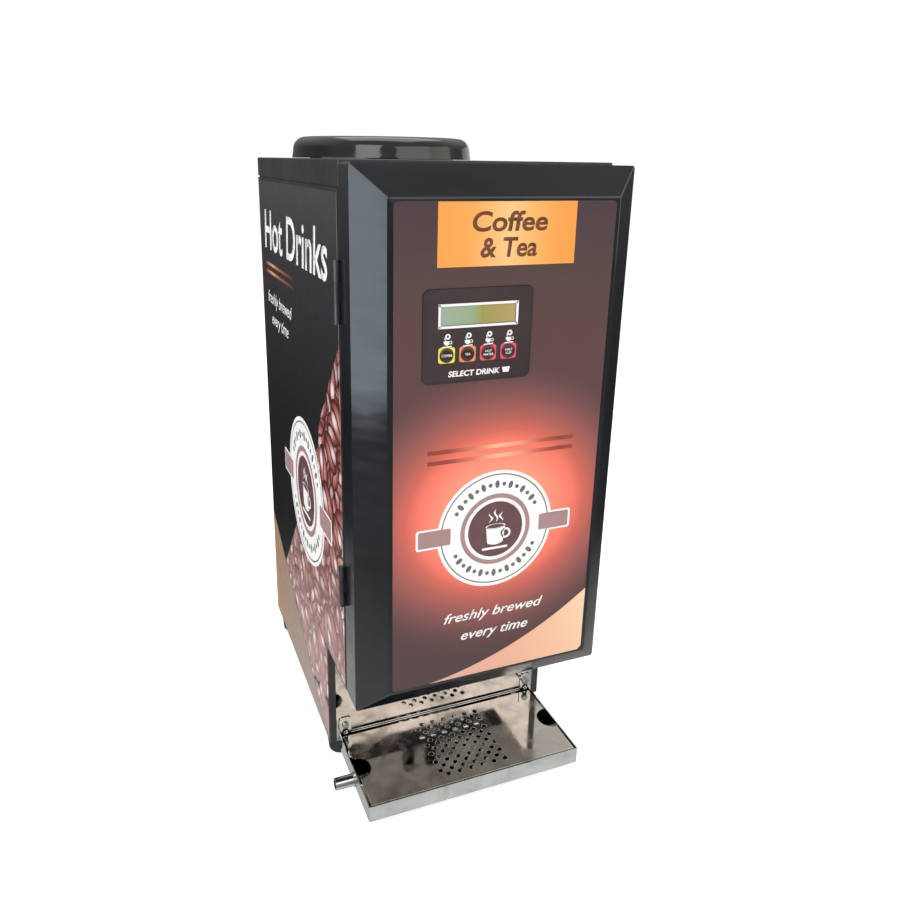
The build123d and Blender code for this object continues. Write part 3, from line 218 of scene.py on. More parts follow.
@dataclass(frozen=True)
class MirrorSteel(Finish):
    """Mirror-polished stainless sheet: reflections bent by the sheet's waves, dulled where it is handled."""

    name: str = "mirror_polished_stainless"
    tint: str = "D3D5D3"
    smeared: str = "BABCBA"
    rough: float = 0.05
    wave: float = 0.10

    def shade(self, tree: bpy.types.NodeTree, shader: bpy.types.Node) -> None:
        """Wires the finish's own nodes into the shader."""
        place = self.place(tree)
        smear = add(tree, "TexNoise",
                    {"Vector": place, "Scale": 1 / 26, "Detail": 5.0, "Distortion": 0.6})
        colour = ramp(tree, smear.outputs[0], ((0.3, self.tint), (0.75, self.smeared)))
        tree.links.new(colour, shader.inputs["Base Color"])
        self.set(shader, Metallic=1.0)
        span = add(tree, "MapRange",
                   {0: smear.outputs[0], 1: 0.5, 2: 0.72, 3: self.rough, 4: self.rough + 0.2})
        tree.links.new(span.outputs[0], shader.inputs["Roughness"])
        self.relief(tree, shader, place, 55.0, self.wave, 1.0)


@dataclass(frozen=True)
class BrushedSteel(Finish):
    """Sheet steel brushed or drawn along one axis: soft streaks across the light."""

    name: str = "brushed_sheet"
    colour: str = "A9ABAC"
    dark: str = "84878A"
    rough: float = 0.34
    stretch: tuple[float, float, float] = (1.0, 1.0, 0.02)

    def shade(self, tree: bpy.types.NodeTree, shader: bpy.types.Node) -> None:
        """Wires the finish's own nodes into the shader."""
        streaks = self.place(tree, self.stretch)
        lines = add(tree, "TexNoise", {"Vector": streaks, "Scale": 1.2, "Detail": 4.0})
        colour = ramp(tree, lines.outputs[0], ((0.25, self.dark), (0.75, self.colour)))
        tree.links.new(colour, shader.inputs["Base Color"])
        self.set(shader, Metallic=1.0)
        span = add(tree, "MapRange",
                   {0: lines.outputs[0], 1: 0.3, 2: 0.7, 3: self.rough, 4: self.rough + 0.14})
        tree.links.new(span.outputs[0], shader.inputs["Roughness"])
        bump = add(tree, "Bump", {"Height": lines.outputs[0], "Distance": 0.02 * MM, "Strength": 0.6})
        tree.links.new(bump.outputs[0], shader.inputs["Normal"])


@dataclass(frozen=True)
class GalvanisedSheet(Finish):
    """Hot-dip galvanised sheet: crystals of zinc, about 9 mm across, each at its own grey."""

    name: str = "galvanised_sheet"

    def shade(self, tree: bpy.types.NodeTree, shader: bpy.types.Node) -> None:
        """Wires the finish's own nodes into the shader."""
        place = self.place(tree)
        bent = add(tree, "TexNoise", {"Vector": place, "Scale": 1 / 6, "Detail": 2.0})
        shifted = add(tree, "MixRGB", {0: 0.12, 1: place, 2: bent.outputs[1]}, blend_type="ADD")
        crystal = add(tree, "TexVoronoi", {"Vector": shifted.outputs[0], "Scale": 1 / 9})
        grey = add(tree, "SeparateColor", {0: crystal.outputs["Color"]})
        colour = ramp(tree, grey.outputs[0], ((0.0, "8E9395"), (0.5, "A4A9AA"), (1.0, "BCC0C0")))
        tree.links.new(colour, shader.inputs["Base Color"])
        self.set(shader, Metallic=1.0)
        span = add(tree, "MapRange", {0: grey.outputs[1], 1: 0.0, 2: 1.0, 3: 0.3, 4: 0.48})
        tree.links.new(span.outputs[0], shader.inputs["Roughness"])


@dataclass(frozen=True)
class MouldedPlastic(Finish):
    """Injection-moulded plastic with a spark-eroded grain, drawn coarse enough to show."""

    name: str = "moulded_plastic"
    colour: str = "E4E4DE"
    shaded: str = "CFCEC6"
    rough: float = 0.42
    grain: float = 0.8
    height: float = 0.02
    clear: float = 0.0

    def shade(self, tree: bpy.types.NodeTree, shader: bpy.types.Node) -> None:
        """Wires the finish's own nodes into the shader."""
        place = self.place(tree)
        cloud = add(tree, "TexNoise", {"Vector": place, "Scale": 1 / 22, "Detail": 5.0})
        colour = ramp(tree, cloud.outputs[0], ((0.3, self.shaded), (0.7, self.colour)))
        tree.links.new(colour, shader.inputs["Base Color"])
        self.set(shader, IOR=1.49, Transmission_Weight=self.clear)
        self.roughen(tree, shader, place, 14.0, self.rough - 0.06, self.rough + 0.08)
        self.relief(tree, shader, place, self.grain, self.height)


@dataclass(frozen=True)
class MouldedRubber(Finish):
    """Moulded nitrile rubber: matt, with a bloom of paler dust in patches."""

    name: str = "moulded_rubber"
    colour: str = "17181A"

    def shade(self, tree: bpy.types.NodeTree, shader: bpy.types.Node) -> None:
        """Wires the finish's own nodes into the shader."""
        place = self.place(tree)
        bloom = add(tree, "TexNoise", {"Vector": place, "Scale": 1 / 7, "Detail": 6.0})
        colour = ramp(tree, bloom.outputs[0], ((0.4, self.colour), (0.8, "2B2C2E")))
        tree.links.new(colour, shader.inputs["Base Color"])
        self.roughen(tree, shader, place, 5.0, 0.6, 0.82)
        self.relief(tree, shader, place, 0.9, 0.04)


@dataclass(frozen=True)
class PlatedMetal(Finish):
    """Turned metal with a plated or machined skin and slight tarnish."""

    name: str = "zinc_plated_steel"
    colour: str = "B8BABB"
    dull: str = "8A8B8B"
    rough: float = 0.29

    def shade(self, tree: bpy.types.NodeTree, shader: bpy.types.Node) -> None:
        """Wires the finish's own nodes into the shader."""
        place = self.place(tree)
        tarnish = add(tree, "TexNoise", {"Vector": place, "Scale": 1 / 3, "Detail": 5.0})
        colour = ramp(tree, tarnish.outputs[0], ((0.3, self.dull), (0.6, self.colour)))
        tree.links.new(colour, shader.inputs["Base Color"])
        self.set(shader, Metallic=1.0)
        self.roughen(tree, shader, place, 2.0, self.rough, self.rough + 0.16)


@dataclass(frozen=True)
class SolderMask(Finish):
    """Circuit laminate under green solder mask: copper tracks on a 2.5 mm grid show as paler green."""

    name: str = "solder_masked_laminate"

    def shade(self, tree: bpy.types.NodeTree, shader: bpy.types.Node) -> None:
        """Wires the finish's own nodes into the shader."""
        place = self.place(tree)
        tracks = add(tree, "TexBrick", {"Vector": place, "Scale": 1 / 7.5, "Mortar Size": 0.035,
                                        "Color1": srgb("0F4A2B"), "Color2": srgb("12532F"),
                                        "Mortar": srgb("2E7A4A"), "Brick Width": 0.9, "Row Height": 0.33})
        tree.links.new(tracks.outputs[0], shader.inputs["Base Color"])
        self.set(shader, IOR=1.5)
        self.roughen(tree, shader, place, 8.0, 0.29, 0.42)


@dataclass(frozen=True)
class DisplayGlass(Finish):
    """Unlit liquid crystal glass with the faint dots of its character cells, under a painted reflection."""

    name: str = "liquid_crystal_glass"
    x0: float = 0.0
    half_window: float = 33.0

    def shade(self, tree: bpy.types.NodeTree, shader: bpy.types.Node) -> None:
        """Wires the finish's own nodes into the shader."""
        coords = add(tree, "TexCoord")
        split = add(tree, "SeparateXYZ", {0: coords.outputs["Object"]})
        left, right = (self.x0 - self.half_window) * MM, (self.x0 + self.half_window) * MM
        along = add(tree, "MapRange", {0: split.outputs[0], 1: left, 2: right})
        # Painted reflection: the glass runs from grey-green at the left to yellow-brown at the right.
        painted_reflection = ramp(tree, along.outputs[0], (
            (0.0, "A3B19F"), (0.4, "98AD8B"), (0.55, "A29B4D"), (1.0, "B99F6B")))
        waves = []
        for axis, pitch in ((0, 0.66), (2, 0.7)):
            turns = math.tau / (pitch * MM)
            phase = add(tree, "Math", {0: split.outputs[axis], 1: turns}, operation="MULTIPLY")
            waves.append(add(tree, "Math", {0: phase.outputs[0]}, operation="SINE").outputs[0])
        dots = add(tree, "Math", {0: waves[0], 1: waves[1]}, operation="MINIMUM")
        level = add(tree, "MapRange", {0: dots.outputs[0], 1: -0.6, 2: 0.6, 3: 0.0, 4: 0.12})
        shade = add(tree, "MixRGB", {0: level.outputs[0], 1: painted_reflection, 2: srgb("6F7F5A")})
        tree.links.new(shade.outputs[0], shader.inputs["Base Color"])
        self.set(shader, Roughness=0.12, Coat_Weight=1.0, Coat_Roughness=0.02, IOR=1.52)


@dataclass(frozen=True)
class PrintedInk(Finish):
    """Screen-printed ink under film: one colour that thins a little in soft patches."""

    name: str = "printed_ink"
    colour: str = "F4F1EC"
    thin: str = "E4DFD8"
    rough: float = 0.34

    def shade(self, tree: bpy.types.NodeTree, shader: bpy.types.Node) -> None:
        """Wires the finish's own nodes into the shader."""
        place = self.place(tree)
        cloud = add(tree, "TexNoise", {"Vector": place, "Scale": 1 / 18, "Detail": 3.0})
        colour = ramp(tree, cloud.outputs[0], ((0.3, self.colour), (0.8, self.thin)))
        tree.links.new(colour, shader.inputs["Base Color"])
        self.roughen(tree, shader, place, 12.0, self.rough - 0.05, self.rough + 0.08)


@dataclass(frozen=True)
class GradientInk(Finish):
    """Printed gradient that runs between two points of the sheet, under clear film."""

    name: str = "gradient_ink"
    start: tuple[float, float, float] = (0, 0, 0)
    end: tuple[float, float, float] = (100, 0, 0)
    stops: tuple[tuple[float, str], ...] = ((0, "000000"), (1, "FFFFFF"))
    rough: float = 0.31

    def shade(self, tree: bpy.types.NodeTree, shader: bpy.types.Node) -> None:
        """Wires the finish's own nodes into the shader."""
        coords = add(tree, "TexCoord")
        start = Vector(self.start) * MM
        along = Vector(self.end) * MM - start
        offset = add(tree, "VectorMath", {0: coords.outputs["Object"], 1: tuple(start)},
                     operation="SUBTRACT")
        scaled = tuple(along / along.length_squared)
        part = add(tree, "VectorMath", {0: offset.outputs[0], 1: scaled}, operation="DOT_PRODUCT")
        colour = ramp(tree, part.outputs["Value"], self.stops)
        tree.links.new(colour, shader.inputs["Base Color"])
        self.roughen(tree, shader, self.place(tree), 16.0, self.rough - 0.02, self.rough + 0.03)


@dataclass(frozen=True)
class DoorPrint(Finish):
    """Digital print under clear gloss film: brown ground with a red glow behind the badge."""

    name: str = "door_print_film"
    glow_x: float = 0.0
    glow_z: float = 327.0

    def shade(self, tree: bpy.types.NodeTree, shader: bpy.types.Node) -> None:
        """Wires the finish's own nodes into the shader."""
        coords = add(tree, "TexCoord")
        split = add(tree, "SeparateXYZ", {0: coords.outputs["Object"]})
        height = add(tree, "MapRange", {0: split.outputs[2], 1: 0.165, 2: 0.59})
        ground = ramp(tree, height.outputs[0], (
            (0.0, "52403F"), (0.1, "574041"), (0.2, "5D4141"), (0.65, "614546"), (0.75, "5F4442"),
            (0.85, "584442"), (1.0, "4A3B3E")))
        centre = (self.glow_x * MM, 0.0, self.glow_z * MM)
        flat = add(tree, "VectorMath", {0: coords.outputs["Object"], 1: (1, 0, 1)}, operation="MULTIPLY")
        offset = add(tree, "VectorMath", {0: flat.outputs[0], 1: centre}, operation="SUBTRACT")
        squeeze = add(tree, "VectorMath", {0: offset.outputs[0], 1: (0.88, 0, 1.0)}, operation="MULTIPLY")
        reach = add(tree, "VectorMath", {0: squeeze.outputs[0]}, operation="LENGTH")
        band = add(tree, "MapRange", {0: reach.outputs["Value"], 1: 0.04, 2: 0.14})
        glow = ramp(tree, band.outputs[0], (
            (0.0, "FF9A7C"), (0.14, "FE8870"), (0.26, "F37864"), (0.36, "D06757"), (0.48, "AE5E55"),
            (0.56, "9D5953"), (0.65, "87524F"), (0.76, "744C4A"), (0.88, "684645"), (1.0, "5F4342")))
        amount = add(tree, "MapRange", {0: reach.outputs["Value"], 1: 0.112, 2: 0.146, 3: 1.0, 4: 0.0})
        colour = add(tree, "MixRGB", {0: amount.outputs[0], 1: ground, 2: glow})
        tree.links.new(colour.outputs[0], shader.inputs["Base Color"])
        self.set(shader, Specular_IOR_Level=0.3)
        place = self.place(tree)
        self.roughen(tree, shader, place, 30.0, 0.29, 0.37)
        self.relief(tree, shader, place, 40.0, 0.02)


@dataclass(frozen=True)
class RoastedBean(Finish):
    """Print of roasted beans: each bean's own map gives its crease, its sheen and its dark rim; a painted
    reflection pales them near the panel's foot.
    """

    name: str = "bean_print"

    def shade(self, tree: bpy.types.NodeTree, shader: bpy.types.Node) -> None:
        """Wires the finish's own nodes into the shader."""
        uv = add(tree, "UVMap", uv_map="bean")
        split = add(tree, "SeparateXYZ", {0: uv.outputs[0]})
        tone = add(tree, "Attribute", attribute_name="tone")
        wobble = add(tree, "Math", {0: split.outputs[1], 1: 5.0}, operation="MULTIPLY")
        swing = add(tree, "Math", {0: wobble.outputs[0]}, operation="SINE")
        small = add(tree, "Math", {0: swing.outputs[0], 1: 0.09}, operation="MULTIPLY")
        aside = add(tree, "Math", {0: split.outputs[0], 1: small.outputs[0]}, operation="SUBTRACT")
        crease = add(tree, "Math", {0: aside.outputs[0]}, operation="ABSOLUTE")
        groove = add(tree, "MapRange", {0: crease.outputs[0], 1: 0.05, 2: 0.16})
        length = add(tree, "VectorMath", {0: uv.outputs[0]}, operation="LENGTH")
        body = ramp(tree, length.outputs["Value"], (
            (0.0, "E0A498"), (0.45, "C27A70"), (0.76, "84403C"), (0.94, "34100F"), (1.0, "200808")))
        lit = add(tree, "VectorMath", {0: uv.outputs[0], 1: (-0.38, 0.34, 0)}, operation="DISTANCE")
        shine = add(tree, "MapRange", {0: lit.outputs["Value"], 1: 0.08, 2: 0.52, 3: 0.95, 4: 0.0},
                    interpolation_type="SMOOTHSTEP")
        glossy = add(tree, "MixRGB", {0: shine.outputs[0], 1: body, 2: srgb("FFEFEB")})
        split_line = add(tree, "MixRGB", {0: groove.outputs[0], 1: srgb("421416"), 2: glossy.outputs[0]})
        toned = add(tree, "MixRGB", {0: tone.outputs["Fac"], 1: split_line.outputs[0], 2: srgb("6A302E")})
        coords = add(tree, "TexCoord")
        place = add(tree, "SeparateXYZ", {0: coords.outputs["Object"]})
        # Painted reflection of the bright floor: the beans turn pale pink towards the bottom of the panel.
        low = add(tree, "MapRange", {0: place.outputs[2], 1: 0.08, 2: 0.30, 3: 0.32, 4: 0.0})
        painted_floor_reflection = add(tree, "MixRGB", {0: low.outputs[0], 1: toned.outputs[0], 2: srgb("E6CBC4")})
        tree.links.new(painted_floor_reflection.outputs[0], shader.inputs["Base Color"])
        self.set(shader, Roughness=0.32)


@dataclass(frozen=True)
class StudioFloor(Finish):
    """Plain pale floor of the studio."""

    name: str = "studio_floor"

    def shade(self, tree: bpy.types.NodeTree, shader: bpy.types.Node) -> None:
        """Wires the finish's own nodes into the shader."""
        place = self.place(tree)
        cloud = add(tree, "TexNoise", {"Vector": place, "Scale": 1 / 400, "Detail": 2.0})
        colour = ramp(tree, cloud.outputs[0], ((0.0, "F2F2F2"), (1.0, "F7F7F7")))
        tree.links.new(colour, shader.inputs["Base Color"])
        self.set(shader, Roughness=0.7, Emission_Color=srgb("FFFFFF"), Emission_Strength=0.62)


POWDER = PowderCoat()
BACK_POWDER = PowderCoat(name="back_powder_coat", colour="1E1E20", worn="2A2A2C", rough=0.44)
DOOR_MOULDING = GlossMoulding(name="polished_door_moulding", colour="101114", coat=0.0)
LID_MOULDING = GlossMoulding(name="polished_lid_moulding", colour="0E1112", rough=0.07, coat=0.3)
KEYPAD_FILM = GlossMoulding(
    name="smoked_keypad_film", colour="3A302F", flow="473B3C", rough=0.14, coat=0.0)
BUTTON_MOULDING = GlossMoulding("button_moulding", "35201F", "3E2826", 0.14, 0.4)
MIRROR = MirrorSteel()
SPLASH_MIRROR = MirrorSteel(
    name="mirror_splash_sheet", tint="D4CFCA", smeared="B9B3AD", rough=0.04, wave=0.16)
COVER_MIRROR = MirrorSteel(
    name="satin_mirror_cover", tint="CAC4BD", smeared="ADA69F", rough=0.06, wave=0.12)
# Cabinet hinge leaf: a paler copy of the door leaf's dark coat, a painted highlight for the lit top and
# bottom knuckles.
PAINTED_LIGHT_HINGE_COAT = PowderCoat(name="hinge_coat_painted_highlight", colour="2E2F31", worn="4C4D50", rough=0.34)
# Painted highlight: a pale ink that stands in for light caught on the side panel's front edge.
PAINTED_EDGE_HIGHLIGHT = PrintedInk("vinyl_cut_edge", "A4A4A7", "8A8A8E")
GALVANISED = GalvanisedSheet()
TANK_STEEL = BrushedSteel(name="brushed_tank_sheet", colour="C2C2BE", dark="9C9C98", rough=0.29)
MOTOR_CAN = BrushedSteel(name="drawn_motor_can", colour="9FA2A4", dark="75787A", stretch=(1.0, 0.05, 1.0))
SUPPLY_CASE = BrushedSteel(
    name="pressed_supply_case", colour="A6A9AA", dark="8D9092", stretch=(0.03, 1.0, 1.0))
RUBBER = MouldedRubber()
SCREW_PLATE = PlatedMetal()
CHROME = PlatedMetal(name="chromed_lock", colour="D9DADB", dull="B9BBBD", rough=0.08)
BRASS = PlatedMetal(name="machined_brass", colour="C9A558", dull="9A7A38", rough=0.29)
NATURAL_ACETAL = MouldedPlastic(name="moulded_acetal")
CANISTER_CLEAR = MouldedPlastic(
    name="clear_canister", colour="DDE2E0", shaded="C8CFCC", rough=0.18, clear=0.55)
BOWL_PLASTIC = MouldedPlastic(
    name="smoked_bowl", colour="B9BDBB", shaded="A2A6A4", rough=0.35, clear=0.35)
BROWN_PLASTIC = MouldedPlastic(name="brown_lid_moulding", colour="4A2F22", shaded="3A241A", rough=0.38)
BLACK_PLASTIC = MouldedPlastic(name="black_nylon", colour="1B1C1D", shaded="141415", rough=0.46)
SILICONE = MouldedPlastic(
    name="extruded_silicone", colour="D9D6CB", shaded="C7C3B6", rough=0.34, clear=0.3)
BOARD = SolderMask()
WHITE_INK = PrintedInk(name="white_ink", colour="FFFEFB", thin="F2EEE8")
BROWN_INK = PrintedInk(name="brown_ink", colour="6B3A12", thin="7A4518")
DARK_INK = PrintedInk(name="dark_brown_ink", colour="664647", thin="6F4E4F")
ROSE_INK = PrintedInk(name="rose_brown_ink", colour="A68382", thin="B08E8D")
GREY_INK = PrintedInk(name="grey_line_ink", colour="5F6866", thin="6B7472")


# ---------------------------------------------------------------------------
# Bench: the modelling steps that every piece uses
# ---------------------------------------------------------------------------
class Pick(Enum):
    """What edit mode selects."""

    VERT = "VERT"
    EDGE = "EDGE"
    FACE = "FACE"


def clear() -> None:
    """Leaves edit mode and deselects everything."""
    if bpy.context.object is not None and bpy.context.object.mode != "OBJECT":
        bpy.ops.object.mode_set(mode="OBJECT")
    bpy.ops.object.select_all(action="DESELECT")


def hold(*objects: bpy.types.Object) -> None:
    """Selects only these objects, with the first one active."""
    clear()
    for one in objects:
        one.select_set(True)
    bpy.context.view_layer.objects.active = objects[0]


def pick(obj: bpy.types.Object, kind: Pick, test: Callable[[Vector, Vector], bool]) -> int:
    """Enters edit mode on obj with only what passes the test selected.

    Args:
        obj: the piece.
        kind: vertices, edges or faces.
        test: gets an element's middle and its normal (an edge's direction), both in metres.

    Returns:
        How many elements are selected.
    """
    hold(obj)
    bpy.ops.object.mode_set(mode="EDIT")
    bpy.ops.mesh.select_mode(type=kind.value)
    bpy.ops.mesh.select_all(action="DESELECT")
    mesh = bmesh.from_edit_mesh(obj.data)
    count = 0
    items = {Pick.VERT: mesh.verts, Pick.EDGE: mesh.edges, Pick.FACE: mesh.faces}[kind]
    for item in items:
        if kind is Pick.VERT:
            middle, way = item.co, item.normal
        elif kind is Pick.EDGE:
            ends = [v.co for v in item.verts]
            middle, way = (ends[0] + ends[1]) / 2, (ends[1] - ends[0]).normalized()
        else:
            middle, way = item.calc_center_median(), item.normal
        if test(middle, way):
            item.select_set(True)
            count += 1
    bmesh.update_edit_mesh(obj.data)
    return count


def modify(obj: bpy.types.Object, kind: str, **settings: object) -> None:
    """Adds a modifier of that kind and applies it."""
    hold(obj)
    mod = obj.modifiers.new(kind.lower(), kind)
    for name, value in settings.items():
        setattr(mod, name, value)
    bpy.ops.object.modifier_apply(modifier=mod.name)


def tidy_mesh(obj: bpy.types.Object, smooth_angle: float | None = 35.0) -> None:
    """Merges doubles, turns the faces outwards and smooths faces that meet at less than the angle."""
    hold(obj)
    bpy.ops.object.mode_set(mode="EDIT")
    bpy.ops.mesh.select_all(action="SELECT")
    bpy.ops.mesh.remove_doubles(threshold=0.002 * MM)
    bpy.ops.mesh.normals_make_consistent(inside=False)
    clear()
    if smooth_angle is not None:
        hold(obj)
        bpy.ops.object.shade_smooth_by_angle(angle=math.radians(smooth_angle))
        clear()


def block(size: Sequence[float], middle: Sequence[float]) -> bpy.types.Object:
    """Returns a box of that size at that middle, in millimetres."""
    clear()
    bpy.ops.mesh.primitive_cube_add(size=1, location=[m * MM for m in middle])
    obj = bpy.context.object
    obj.scale = [s * MM for s in size]
    bpy.ops.object.transform_apply(location=True, rotation=True, scale=True)
    return obj


def joined(parts: Sequence[bpy.types.Object]) -> bpy.types.Object:
    """Joins the parts into the first one."""
    hold(*parts)
    if len(parts) > 1:
        bpy.ops.object.join()
    return bpy.context.view_layer.objects.active


def spun(profile: Sequence[tuple[float, float]], middle: Sequence[float],
         steps: int = 96) -> bpy.types.Object:
    """Turns an outline about a vertical axis.

    Args:
        profile: radius and height of each point in millimetres, from the axis round to the axis.
        middle: x and y of the axis.
        steps: segments of the full turn.

    Returns:
        The closed solid.
    """
    clear()
    bpy.ops.mesh.primitive_circle_add(vertices=len(profile), fill_type="NOTHING")
    obj = bpy.context.object
    for vertex, (radius, height) in zip(obj.data.vertices, profile):
        vertex.co = (radius * MM, 0, height * MM)
    hold(obj)
    bpy.ops.object.mode_set(mode="EDIT")
    bpy.ops.mesh.select_all(action="SELECT")
    bpy.ops.mesh.spin(
        steps=steps, angle=math.tau, center=(0, 0, 0), axis=(0, 0, 1), use_auto_merge=True)
    clear()
    obj.location = (middle[0] * MM, middle[1] * MM, 0)
    hold(obj)
    bpy.ops.object.transform_apply(location=True, rotation=True, scale=True)
    return obj


def settle(obj: bpy.types.Object, name: str, body: str, finish: Finish,
           stands_for: Iterable[str] = ()) -> bpy.types.Object:
    """Names a finished piece, dresses it and puts it on its body."""
    obj.name = name
    obj.data.name = name
    obj.data.materials.clear()
    obj.data.materials.append(finish.material())
    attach(obj, body)
    nodes = list(stands_for)
    if nodes:
        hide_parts(*nodes)
    LOG.info("%s rides on %s, %d faces", name, body, len(obj.data.polygons))
    return obj


# ---------------------------------------------------------------------------
# Printing: flat shapes in the plane of a sheet
# ---------------------------------------------------------------------------
class Side(Enum):
    """Which side of the machine a print is on: its columns are the print's right, up and outward."""

    FRONT = ((1, 0, 0), (0, 0, 1), (0, -1, 0))
    LEFT = ((0, -1, 0), (0, 0, 1), (-1, 0, 0))
    RIGHT = ((0, 1, 0), (0, 0, 1), (1, 0, 0))


@dataclass
class Press:
    """Prints flat shapes on one sheet of the machine.

    Shapes are drawn with x to the sheet's right and y up, in millimetres, and pressed on as thin ink.
    """

    side: Side
    surface: float
    body: str
    slot: str
    prefix: str
    ink: float = 0.05
    pitch: float = 0.05

    def press(self, shape: bpy.types.Object, name: str, finish: Finish, layer: int = 0,
              at: tuple[float, float] = (0, 0), thickness: float | None = None) -> bpy.types.Object:
        """Thickens a flat shape and lays it on the sheet.

        Args:
            shape: a flat mesh in the drawing plane.
            name: the piece's name, without the sheet's.
            finish: its ink.
            layer: 0 lies on the sheet, and each further layer 0.05 mm higher.
            at: where the drawing's origin goes on the sheet.
            thickness: ink thickness, the press's own if left out.

        Returns:
            The printed piece.
        """
        depth = self.ink if thickness is None else thickness
        hold(shape)
        bpy.ops.object.mode_set(mode="EDIT")
        bpy.ops.mesh.select_all(action="SELECT")
        bpy.ops.mesh.extrude_region_move(TRANSFORM_OT_translate={"value": (0, 0, depth * MM)})
        clear()
        right, up, out = (Vector(v) for v in self.side.value)
        turn = Matrix((right, up, out)).transposed().to_4x4()
        height = abs(self.surface) + layer * self.pitch
        turn.translation = (right * at[0] + up * at[1] + out * height) * MM
        shape.matrix_world = turn
        hold(shape)
        bpy.ops.object.transform_apply(location=True, rotation=True, scale=True)
        tidy_mesh(shape, None)
        return settle(shape, f"{self.prefix}_{name}", self.body, finish)


def disc(radius: float, at: tuple[float, float] = (0, 0), steps: int = 72) -> bpy.types.Object:
    """Returns a flat round disc."""
    clear()
    bpy.ops.mesh.primitive_circle_add(
        vertices=steps, radius=radius * MM, fill_type="NGON", location=(at[0] * MM, at[1] * MM, 0))
    bpy.ops.object.transform_apply(location=True, rotation=True, scale=True)
    return bpy.context.object


def ring(outer: float, inner: float, at: tuple[float, float] = (0, 0),
         steps: int = 96) -> bpy.types.Object:
    """Returns a flat ring."""
    clear()
    bpy.ops.mesh.primitive_circle_add(
        vertices=steps, radius=outer * MM, fill_type="NOTHING", location=(at[0] * MM, at[1] * MM, 0))
    bpy.ops.object.transform_apply(location=True, rotation=True, scale=True)
    obj = bpy.context.object
    hold(obj)
    bpy.ops.object.mode_set(mode="EDIT")
    bpy.ops.mesh.select_all(action="SELECT")
    bpy.ops.mesh.extrude_edges_move(TRANSFORM_OT_translate={"value": (0, 0, 0)})
    shrink = inner / outer
    bpy.ops.transform.resize(value=(shrink, shrink, 1), center_override=(at[0] * MM, at[1] * MM, 0))
    clear()
    return obj


def bar(width: float, height: float, at: tuple[float, float] = (0, 0), radius: float = 0.0,
        lean: float = 0.0) -> bpy.types.Object:
    """Returns a flat bar, with rounded corners if radius is given and turned by lean degrees."""
    clear()
    bpy.ops.mesh.primitive_plane_add(size=1)
    obj = bpy.context.object
    obj.scale = (width * MM, height * MM, 1)
    bpy.ops.object.transform_apply(location=True, rotation=True, scale=True)
    if radius > 0:
        hold(obj)
        bpy.ops.object.mode_set(mode="EDIT")
        bpy.ops.mesh.select_all(action="SELECT")
        bpy.ops.mesh.bevel(offset=radius * MM, segments=6, affect="VERTICES")
        clear()
    obj.rotation_euler = (0, 0, math.radians(lean))
    obj.location = (at[0] * MM, at[1] * MM, 0)
    hold(obj)
    bpy.ops.object.transform_apply(location=True, rotation=True, scale=True)
    return obj


def strip(low: Callable[[float], tuple[float, float]], high: Callable[[float], tuple[float, float]],
          steps: int = 24) -> bpy.types.Object:
    """Returns a flat sheet between two lines, each given as a function of a share from 0 to 1."""
    clear()
    bpy.ops.mesh.primitive_grid_add(x_subdivisions=steps, y_subdivisions=1, size=2)
    obj = bpy.context.object
    for vertex in obj.data.vertices:
        share = (vertex.co.x + 1) / 2
        x, y = high(share) if vertex.co.y > 0 else low(share)
        vertex.co = (x * MM, y * MM, 0)
    return obj


def lettering(text: str, height: float, at: tuple[float, float], lean: float = 0.0, weight: float = 0.0,
              width: float | None = None) -> bpy.types.Object:
    """Returns flat letters as a mesh.

    Args:
        text: generic words.
        height: the letters' nominal size in millimetres.
        at: the middle of the line's foot.
        lean: slant of the letters.
        weight: how much bolder the outline is, in millimetres.
        width: stretches the line to this length, if given.

    Returns:
        The letters' mesh, centred on at.
    """
    clear()
    bpy.ops.object.text_add()
    obj = bpy.context.object
    obj.data.body = text
    obj.data.align_x = "CENTER"
    obj.data.size = height * MM
    obj.data.shear = lean
    obj.data.offset = weight * MM
    obj.data.resolution_u = 6
    hold(obj)
    bpy.ops.object.convert(target="MESH")
    obj = bpy.context.object
    if width is not None:
        obj.scale = (width * MM / obj.dimensions.x, 1, 1)
    obj.location = (at[0] * MM, at[1] * MM, 0)
    bpy.ops.object.transform_apply(location=True, rotation=True, scale=True)
    return obj


def line(start: tuple[float, float], end: tuple[float, float]) -> Callable[[float], tuple[float, float]]:
    """Returns the straight line between two points, as a function of a share from 0 to 1."""
    return lambda t: (start[0] + (end[0] - start[0]) * t, start[1] + (end[1] - start[1]) * t)


def arc_through(start: tuple[float, float], middle: tuple[float, float],
                end: tuple[float, float]) -> Callable[[float], tuple[float, float]]:
    """Returns a smooth curve that starts, passes and ends at three points."""
    def at(t: float) -> tuple[float, float]:
        """Returns the curve's point at this share of its length."""
        a, b, c = (1 - t) * (1 - 2 * t), 4 * t * (1 - t), t * (2 * t - 1)
        return (a * start[0] + b * middle[0] + c * end[0], a * start[1] + b * middle[1] + c * end[1])
    return at


